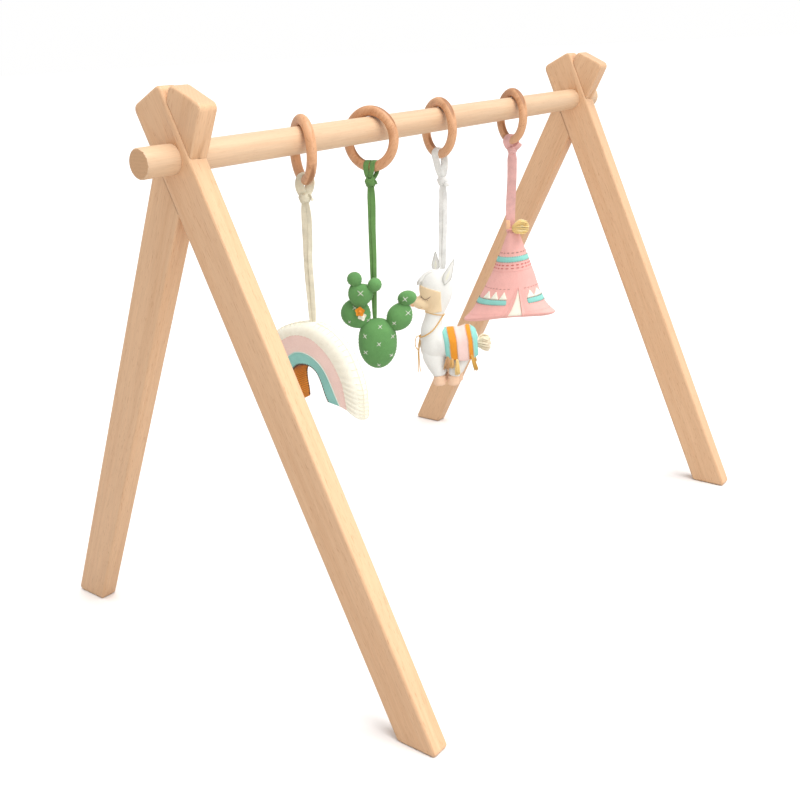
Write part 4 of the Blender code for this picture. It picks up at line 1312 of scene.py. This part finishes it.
def llama_tail(placed):
    """A loose tuft of cream yarn round a small core."""
    strands = Strands()
    for _ in range(TAIL_THREADS):
        a, r = random.uniform(0, tau), sqrt(random.random())
        root = Vector((41.0, 3.0 * r * cos(a), 243.5 + 3.0 * r * sin(a)))
        reach = 59.5 - 4.0 * r * r - random.uniform(0.0, 2.0)
        tip = Vector((reach, 6.5 * r * cos(a), 241.5 + 10.0 * r * sin(a)))
        middle = root.lerp(tip, 0.5) + Vector((0, 2.6 * r * cos(a), 3.4 * r * sin(a) + 1.0))
        lock(strands, placed, [root, middle, tip], 7, 0.62, 5, 0.4)
    strands.include(core(at(placed, 48.8, 0.0, 242.8), (8.0, 5.8, 8.4), way(placed, 1, 0, 0),
                         way(placed, 0, 1, 0), 0.10))
    strands.finish("llama_yarn_tail", THREADS["tail"], "cream_felt", ["llama_tail"])


# The cord's bow and its two hanging ends, in millimetres from its knot
CORD_ENDS = (
    ((0, 0, 0), (-4.0, -2.0, 0.4), (-6.2, -3.0, -5.0), (-5.8, -3.6, -12.0), (-2.6, -3.4, -16.0),
     (-0.6, -2.8, -11.0), (0, -1.0, -3.0)),
    ((0, 0, 0), (-1.5, -2.4, -6.0), (-3.0, -3.0, -15.0), (-2.8, -2.8, -28.0), (-3.4, -2.4, -46.0)),
    ((0, 0, 0), (-0.8, -1.6, -8.0), (-1.8, -2.0, -18.0), (-1.6, -2.0, -30.0), (-0.6, -1.6, -45.0)),
)


def llama_cord(placed, tree):
    """A gold cord round the neck, tied low on the chest, with a bow and two hanging ends."""
    cord = Strands()

    def round_neck(height, slope, lift):
        points = []
        for i in range(CORD_SAMPLES + 1):
            a = tau * i / CORD_SAMPLES
            out = Vector((cos(a), sin(a), 0))
            origin = at(placed, *(Vector((-9.5, 0.0, height + slope * cos(a))) + out * 40))
            points.append(on_surface(tree, origin, way(placed, *-out), lift * MM)[0])
        return points

    loop = round_neck(266.0, 13.6, 0.7)
    cord.tube(spline(round_neck(281.6, -2.2, 0.5), 120), CORD_RADIUS, 6)
    for phase in (0.0, pi):
        points = []
        for i, p in enumerate(spline(loop, 160)):
            twist = i * 0.9 + phase
            points.append(p + Vector((cos(twist) * 0.25, sin(twist) * 0.25, sin(twist) * 0.35)) * MM)
        cord.tube(points, CORD_RADIUS, 6)
    knot = loop[CORD_SAMPLES // 2]
    cord.include(core(knot, (1.9, 1.8, 2.1), way(placed, 1, 0, 0), way(placed, 0, 1, 0), 0.12))
    tied = placed.inverted() @ knot / MM
    for end in CORD_ENDS:
        lock(cord, placed, [tied + Vector(p) for p in end], 26, 0.62, 6)
    cord.finish("llama_gold_cord", THREADS["gold"], "cord_thread", ["llama_neck_cord"])


def llama_seam(placed, tree):
    """A line of small stitches along the back and belly seam."""
    seam = Strands()
    aside = way(placed, 0, 1, 0) * 1.3 * MM
    for count in range(BACK_STITCHES):
        a = tau * count / BACK_STITCHES
        out = Vector((cos(a), 0, sin(a)))
        origin = at(placed, *(Vector((8.0, 0, 246.0)) + out * 80))
        inward = way(placed, *-out)
        p = on_surface(tree, origin - aside, inward, 0.1 * MM)[0]
        q, normal = on_surface(tree, origin + aside, inward, 0.1 * MM)
        seam.tube([p, (p + q) / 2 + normal * 0.25 * MM, q], 0.22 * MM, 5)
    seam.finish("llama_back_stitches", THREADS["white"], "white_felt")


# ---------------------------------------------------------------- teepee

# Half width, height at the side, how far the front's line drops below it, and depth as a share of width
TENT_RINGS = ((5.0, 355.5, 0.0, 0.80), (7.0, 352.5, 0.1, 0.76), (8.8, 347.5, 0.3, 0.70),
              (11.8, 339.0, 0.5, 0.64), (15.2, 330.0, 0.8, 0.60), (18.3, 322.0, 1.0, 0.58),
              (24.0, 308.0, 1.4, 0.56), (30.2, 293.5, 1.8, 0.55), (36.0, 279.5, 2.0, 0.54),
              (41.8, 267.0, 2.0, 0.54),
              (48.8, 255.0, 0.0, 0.53), (56.4, 246.9, -2.8, 0.49), (60.2, 243.2, -4.8, 0.45),
              (57.8, 240.8, -5.2, 0.42), (49.0, 239.4, -5.2, 0.42), (35.0, 239.0, -5.2, 0.42),
              (16.0, 238.8, -5.2, 0.42))
TENT_HEM = 12  # the ring at the hem; the rings after it close the underside
TENT_X = 4.0
TENT_SLUMP = tan(radians(4.4))
TENT_AROUND = 64
TENT_ROWS = 44
TENT_UNDERSIDE = 36  # rows after this one are held by the hem
TENT_THREADS = 190
DOOR_APEX = (11.6, 283.5)
DOOR_FOOT = (-1.6, 18.0, 243.6)
DOOR_FALL = DOOR_FOOT[2] - DOOR_APEX[1]
DOOR_ROWS = 14
BAND_LEVEL = 264.0
BAND_GAP = (-2.8, 24.5)
UPPER_TRIM = 300.0  # trim above this height runs level; trim below it sags
TRIANGLE_TOP = 268.0
FRONT_TRIANGLES = (-30.5, -19.5, -7.6, 29.0, 39.5)
BACK_TRIANGLES = (40.0, 50.0, 62.0, 86.0, 98.0, 122.0, 134.0, 145.0)  # degrees round the back
# Rows of dashes: height, how many, half length as an angle, and thickness
DASHES = {"brown": ("mauve", ((327.4, 18, 0.10, 0.72), (281.0, 40, 0.045, 0.40))),
          "red": ("red", ((312.6, 22, 0.085, 0.70), (308.8, 22, 0.085, 0.55)))}
BAND_EDGES = ((322.6, 40), (316.2, 40), (267.4, 84), (260.6, 84))
PANEL_SEAM = 305.0


def tent_middle(height):
    """How far right the tent's middle is: its lower part has swung a little to the left."""
    return TENT_X - 2.6 * min(1.0, max(0.0, (300.0 - height) / 30.0))


def tent_point(ring, angle):
    """A point on the tent: angle 0 at the right side, 90 degrees at the back, 270 at the front."""
    half_width, height, drop, depth = ring
    x = half_width * cos(angle)
    y = half_width * depth * sin(angle)
    z = height - drop * sin(angle) ** 2 + x * TENT_SLUMP * (1.0 if height < 340 else 0.4)
    return Vector((tent_middle(height) + x, y, z))


def tent_ring(height):
    """The tent's size at a height, read off the rings above its hem."""
    for upper, lower in zip(TENT_RINGS, TENT_RINGS[1:TENT_HEM + 1]):
        if lower[1] <= height <= upper[1]:
            share = (upper[1] - height) / (upper[1] - lower[1])
            return [a + (b - a) * share for a, b in zip(upper, lower)]
    return TENT_RINGS[TENT_HEM]


def front_angle(x, height):
    """The angle at which the tent's front is this far to the right."""
    reach = max(-1.0, min(1.0, (x - tent_middle(height)) / tent_ring(height)[0]))
    return tau - acos(reach)


def between(angle, height, left, right):
    """Whether an angle lies on the tent's front between two distances to the right."""
    return front_angle(left, height) < angle < front_angle(right, height)


def sagged(height, angle):
    """The height of a line of trim at an angle: the lower trim rises towards the left side."""
    return height if height > UPPER_TRIM else height + 2.6 - 1.5 * cos(angle)


def tent_spot(tent, height, angle, lift):
    """Where the tent's skin is at a side height and an angle round it, lifted along its normal."""
    placed, tree = tent
    return nearest(tree, at(placed, *tent_point(tent_ring(height), angle)), lift)


def teepee():
    """The stuffed tent with its felt trim, doorway, stitches and tassel."""
    placed = toy_frame("teepee")
    sizes = spline([size[:3] for size in TENT_RINGS], TENT_ROWS)
    depths = spline([(size[3], 0, 0) for size in TENT_RINGS], TENT_ROWS)
    vertices, pinned = [], {}
    for i, (size, depth) in enumerate(zip(sizes, depths)):
        for k in range(TENT_AROUND):
            if i < 2:
                pinned[len(vertices)] = 1.0
            elif i > TENT_UNDERSIDE:
                pinned[len(vertices)] = 0.7
            elif k in (0, TENT_AROUND // 2):
                pinned[len(vertices)] = 0.8
            vertices.append(tent_point((*size, depth.x), tau * k / TENT_AROUND) * MM)
    faces = grid_faces(TENT_ROWS, TENT_AROUND)
    faces.append(tuple(range(TENT_AROUND)))
    faces.append(tuple(TENT_ROWS * TENT_AROUND + k for k in range(TENT_AROUND)))
    obj = add_object("teepee_felt_tent", vertices, faces)
    inflate(obj, 3.0, 1.6 * MM, pinned, 16)
    obj.data.transform(placed)
    dress(obj, [FELTS["rose"]], "rose_felt", ["teepee_tent"], 1)
    tent = (placed, surface_of(obj))
    left, right = [degrees(front_angle(x, BAND_LEVEL)) for x in BAND_GAP]
    teepee_band(tent, "upper", 322.8, 316.0, 0.0, 360.0)
    teepee_band(tent, "lower", 267.6, 260.4, right, left + 360.0)
    teepee_triangles(tent)
    teepee_trim_stitches(tent)
    teepee_door(tent)
    teepee_top(placed)
    teepee_hem(tent)


def teepee_band(tent, name, top, bottom, start, end):
    """A strip of mint felt round the tent between two heights and two angles, in degrees."""
    columns, rows = 60, 3

    def place(i, j, k):
        angle = radians(start + (end - start) * i / columns)
        rim = i in (0, columns) or k in (0, rows)
        height = sagged(top + (bottom - top) * k / rows, angle)
        return tent_spot(tent, height, angle, (0.7 if rim else 1.0) if j else -0.3)

    felt_block(f"teepee_mint_{name}_band", (columns, 1, rows), place, "mint", "teal_felt",
               [f"teepee_{name}_band"])


def teepee_triangles(tent):
    """Cream felt triangles that stand on the lower band."""
    angles = [front_angle(x, TRIANGLE_TOP) for x in FRONT_TRIANGLES] + [radians(a) for a in BACK_TRIANGLES]
    parts = []
    for middle in angles:
        broad = 5.4 / tent_ring(TRIANGLE_TOP)[0] / max(0.35, abs(sin(middle)))

        def place(i, j, k):
            s, t = k / 5, i / 4 * 2 - 1
            turn = middle + broad * t * (1 - s * 0.94)
            return tent_spot(tent, sagged(TRIANGLE_TOP, middle) + 9.2 * s, turn, 0.9 if j else -0.3)

        parts.append(lattice(4, 1, 5, place))
    dress(add_object("teepee_cream_triangles", *join_parts(parts)), [FELTS["cream"]], "cream_felt")


def teepee_trim_stitches(tent):
    """Rows of dashes, small stitches along the bands' edges, and the seam between the tent's panels."""
    for name, (colour, rows) in DASHES.items():
        dots = Strands()
        for height, count, half, thick in rows:
            for n in range(count):
                a = tau * (n + 0.5) / count
                if height < UPPER_TRIM and between(a, height, 4.0, 20.0):
                    continue
                level = sagged(height, a)
                path = [tent_spot(tent, level, a + half * t, 0.20) for t in (-1, -0.4, 0.4, 1)]
                dots.tube(path, thick * MM, 6)
        dots.finish(f"teepee_{name}_dashes", THREADS[colour], "rose_felt")
    edges = Strands()
    for height, count in BAND_EDGES:
        for n in range(count):
            a = tau * n / count
            if height < UPPER_TRIM and between(a, BAND_LEVEL, BAND_GAP[0] - 1.0, BAND_GAP[1] + 1.0):
                continue
            level = sagged(height, a)
            start = tent_spot(tent, level + 0.9, a, 0.75)
            bridge(edges, start, tent_spot(tent, level - 0.9, a, 0.95), 0.17, 4)
    edges.finish("teepee_band_stitches", THREADS["grey"], "teal_felt")
    line = Strands()
    line.tube([tent_spot(tent, PANEL_SEAM, tau * n / 72, 0.05) for n in range(73)], 0.25 * MM, 5)
    line.finish("teepee_panel_seam", THREADS["pink"], "rose_felt")


def door_edge(side, s):
    """How far right the left or right edge of the doorway is, s of the way down from its apex."""
    apex, foot = DOOR_APEX[0], DOOR_FOOT[side]
    return apex + (foot - apex) * (s ** 1.35 if side == 0 else s ** 0.9)


def teepee_door(tent):
    """The cream opening, and the two flaps that part over it."""

    def opening(i, j, k):
        s = k / DOOR_ROWS
        height = DOOR_APEX[1] + DOOR_FALL * s
        x = door_edge(0, s) + (door_edge(1, s) - door_edge(0, s)) * i / 8
        return tent_spot(tent, height, front_angle(x, height), 0.35 if j else -0.4)

    felt_block("teepee_cream_door", (8, 1, DOOR_ROWS), opening, "cream", "cream_felt", ["teepee_door"])
    for name, side, width, curl_height in (("left", 0, -9.5, 3.4), ("right", 1, 4.5, 1.8)):

        def flap(i, j, k):
            s, t = k / DOOR_ROWS, i / 6
            height = DOOR_APEX[1] + 1.5 + (DOOR_FALL - 1.5) * s
            x = door_edge(side, s) + width * (0.12 + 0.88 * s ** 0.8) * t
            curl = curl_height * exp(-(t / 0.4) ** 2) * (0.35 + 0.65 * s)
            return tent_spot(tent, height, front_angle(x, height), (0.9 + curl) if j else -0.2)

        felt_block(f"teepee_{name}_flap", (6, 1, DOOR_ROWS), flap, "rose", "rose_felt")


BINDING_HEIGHT = 353.9
BINDING_TURNS = 4
BINDING_PITCH = 0.85


def teepee_top(placed):
    """The gathered top with its gold thread tassel, whose every fourth strand is a paler yellow as painted
    highlight, and a blank peach tab.
    """
    gold, pale, wrap = Strands(), Strands(), Strands()
    lump, lump_faces = ellipsoid((8.5, 3.0, 5.4), (13.5, -7.4, 358.6))
    gold.include(([placed @ v for v in lump], lump_faces))
    for n in range(TENT_THREADS):
        fan = random.uniform(-1.0, 1.0)
        depth = random.uniform(-1.0, 1.0)
        root = Vector((2.0, -6.4 + depth * 1.2, 357.6 + fan * 2.0))
        reach = random.uniform(17.5, 22.0) * cos(fan * 0.55)
        tip = root + Vector((reach, -1.5 + depth * 3.6, 1.0 + fan * 5.0))
        wave = random.uniform(-1.4, 1.4)
        middle = root.lerp(tip, random.uniform(0.4, 0.6))
        middle += Vector((wave, -1.4 + depth * 2.2, 1.2 + fan * 2.9 + wave))
        # Every fourth strand takes the paler yellow, a painted highlight scattered through the tassel.
        lock(pale if n % 4 == 0 else gold, placed, [root, middle, tip], 6, 0.66, 5, 0.7)
    gold.finish("teepee_gold_tassel", THREADS["yellow"], "cord_thread", ["teepee_tassel"])
    pale.finish("teepee_pale_tassel", THREADS["pale"], "cord_thread")
    for turn in range(BINDING_TURNS):
        ring_size = tent_ring(BINDING_HEIGHT - turn * BINDING_PITCH)
        wrap.tube([at(placed, *tent_point(ring_size, tau * i / 24)) for i in range(25)], 0.5 * MM, 5)
    wrap.finish("teepee_top_binding", THREADS["pink"], "rose_felt")

    def tab(i, j, k):
        x, z = -6.0 + 5.4 * i / 3, 356.0 + 11.5 * k / 6
        return at(placed, x + 0.8 * sin(k * 0.6), -6.9 - 0.6 * sin(k * 0.8) + 0.7 * j, z)

    felt_block("teepee_peach_tab", (3, 1, 6), tab, "peach", "tan_felt")


HEM_LEVEL = 250.5
HEM_STITCHES = 100
SEAM_TOP = 345.0
SEAM_PITCH = 3.1


def teepee_hem(tent):
    """Running stitches above the hem and down the side seams."""
    hem = Strands()
    for n in range(HEM_STITCHES):
        a = tau * n / HEM_STITCHES
        if not between(a, HEM_LEVEL, -12.0, 22.0):
            start = tent_spot(tent, HEM_LEVEL, a, 0.12)
            bridge(hem, start, tent_spot(tent, HEM_LEVEL, a + 0.035, 0.12), 0.24)
    for angle in (0.0, pi):
        for n in range(30):
            height = SEAM_TOP - SEAM_PITCH * n
            start = tent_spot(tent, height, angle - 0.03, 0.15)
            bridge(hem, start, tent_spot(tent, height - 1.2, angle + 0.03, 0.15), 0.24)
    hem.finish("teepee_seam_stitches", THREADS["pink"], "rose_felt")


# ---------------------------------------------------------------- studio

CAMERA_PLACE = (-0.9157, -0.6482, 0.5762)
CAMERA_YAW = radians(40.986)
CAMERA_PITCH = radians(-24.926)
CAMERA_ROLL = radians(-3.145)
CAMERA_LENS = 43.25
CAMERA_SHIFT = (0.0745, 0.120)
WORLD_LIGHT = 0.60
SUN_LIGHT = 2.75
SUN_PLACE = (0.10, -0.34, 1.0)
# A panel lights the toys and the far frame; the near frame's outer face is turned away from it
FILL_LIGHT = 2.5
FILL_PLACE = (-0.36, -0.85, 0.75)
FILL_AIM = (0.15, 0.0, 0.30)
LAMP_COLOUR = (1.0, 0.985, 0.965)
FLOOR_REACH = 60
FLOOR_DROP = 0.0004


def camera():
    """The camera fitted to the photograph."""
    data = bpy.data.cameras.new("camera")
    data.sensor_width = 36.0
    data.lens = CAMERA_LENS
    data.clip_start = 0.01
    data.clip_end = 100.0
    obj = link("camera", data)
    level = Vector((cos(CAMERA_YAW), sin(CAMERA_YAW), 0))
    forward = level * cos(CAMERA_PITCH) + UP * sin(CAMERA_PITCH)
    right = forward.cross(UP).normalized()
    up = right.cross(forward)
    rolled_right = right * cos(CAMERA_ROLL) + up * sin(CAMERA_ROLL)
    rolled_up = up * cos(CAMERA_ROLL) - right * sin(CAMERA_ROLL)
    turn = Matrix((rolled_right, rolled_up, -forward)).transposed().to_4x4()
    obj.matrix_world = Matrix.Translation(CAMERA_PLACE) @ turn
    # The lens is shifted only at this viewpoint, so that a picture from another side stays centred.
    for axis, shift in zip(("shift_x", "shift_y"), CAMERA_SHIFT):
        driver = data.driver_add(axis).driver
        driver.type = "SCRIPTED"
        for letter in "xy":
            variable = driver.variables.new()
            variable.name = letter
            variable.type = "TRANSFORMS"
            variable.targets[0].id = obj
            variable.targets[0].transform_type = f"LOC_{letter.upper()}"
            variable.targets[0].transform_space = "WORLD_SPACE"
        x, y = CAMERA_PLACE[:2]
        driver.expression = f"{shift} if abs(x - ({x})) + abs(y - ({y})) < 0.002 else 0.0"
    bpy.context.scene.camera = obj


def lamp(name, kind, energy, back, **settings):
    """A light that shines along the opposite of back."""
    data = bpy.data.lights.new(name, kind)
    data.energy = energy
    data.color = LAMP_COLOUR
    for key, value in settings.items():
        setattr(data, key, value)
    obj = link(name, data)
    obj.rotation_euler = Vector(back).to_track_quat("Z", "Y").to_euler()
    return obj


def studio():
    """A white floor and world, an overhead light and a front panel."""
    scene = bpy.context.scene
    scene.view_settings.view_transform = "Standard"
    scene.view_settings.exposure = 0.0
    world = bpy.data.worlds.new("soft_white")
    scene.world = world
    world.use_nodes = True
    nodes, links = world.node_tree.nodes, world.node_tree.links
    background = nodes["Background"]
    background.inputs["Color"].default_value = (1.0, 0.99, 0.985, 1.0)
    background.inputs["Strength"].default_value = WORLD_LIGHT
    seen = nodes.new("ShaderNodeBackground")
    seen.inputs["Color"].default_value = (1.0, 0.998, 0.996, 1.0)
    path = nodes.new("ShaderNodeLightPath")
    choose = nodes.new("ShaderNodeMixShader")
    links.new(path.outputs["Is Camera Ray"], choose.inputs[0])
    links.new(background.outputs[0], choose.inputs[1])
    links.new(seen.outputs[0], choose.inputs[2])
    links.new(choose.outputs[0], nodes["World Output"].inputs["Surface"])
    corners = [(x * FLOOR_REACH, y * FLOOR_REACH, 0) for x, y in ((-1, -1), (1, -1), (1, 1), (-1, 1))]
    floor = add_object("floor", corners, [(0, 1, 2, 3)])
    floor.location.z = -FLOOR_DROP
    shader = Shader("floor_paper", 0.95, Specular_IOR_Level=0.0)
    # Faint painted shade: broad random patches a little greyer than the white floor.
    tone = shader.noise(shader.place, 1.3, 2.0)
    paper_with_painted_shade = shader.ramp(tone, [(0.35, linear(247, 245, 245)), (0.65, linear(251, 250, 250))])
    seen_directly = shader.add("LightPath").outputs["Is Camera Ray"]
    shader.set("Base Color", shader.mix(seen_directly, linear(206, 204, 202), paper_with_painted_shade))
    floor.data.materials.append(shader.material)
    lamp("overhead", "SUN", SUN_LIGHT, SUN_PLACE, angle=radians(55))
    back = Vector(FILL_PLACE) - Vector(FILL_AIM)
    panel = lamp("front_panel", "AREA", FILL_LIGHT, back, shape="DISK", size=0.7)
    panel.location = FILL_PLACE


def main():
    """Builds every piece, then the studio round them."""
    wooden_frame()
    for toy in FACING:
        ring(toy)
        strap_loop(toy)
        strap_tape(toy)
    rainbow()
    cactus()
    llama()
    teepee()
    studio()
    camera()


main()
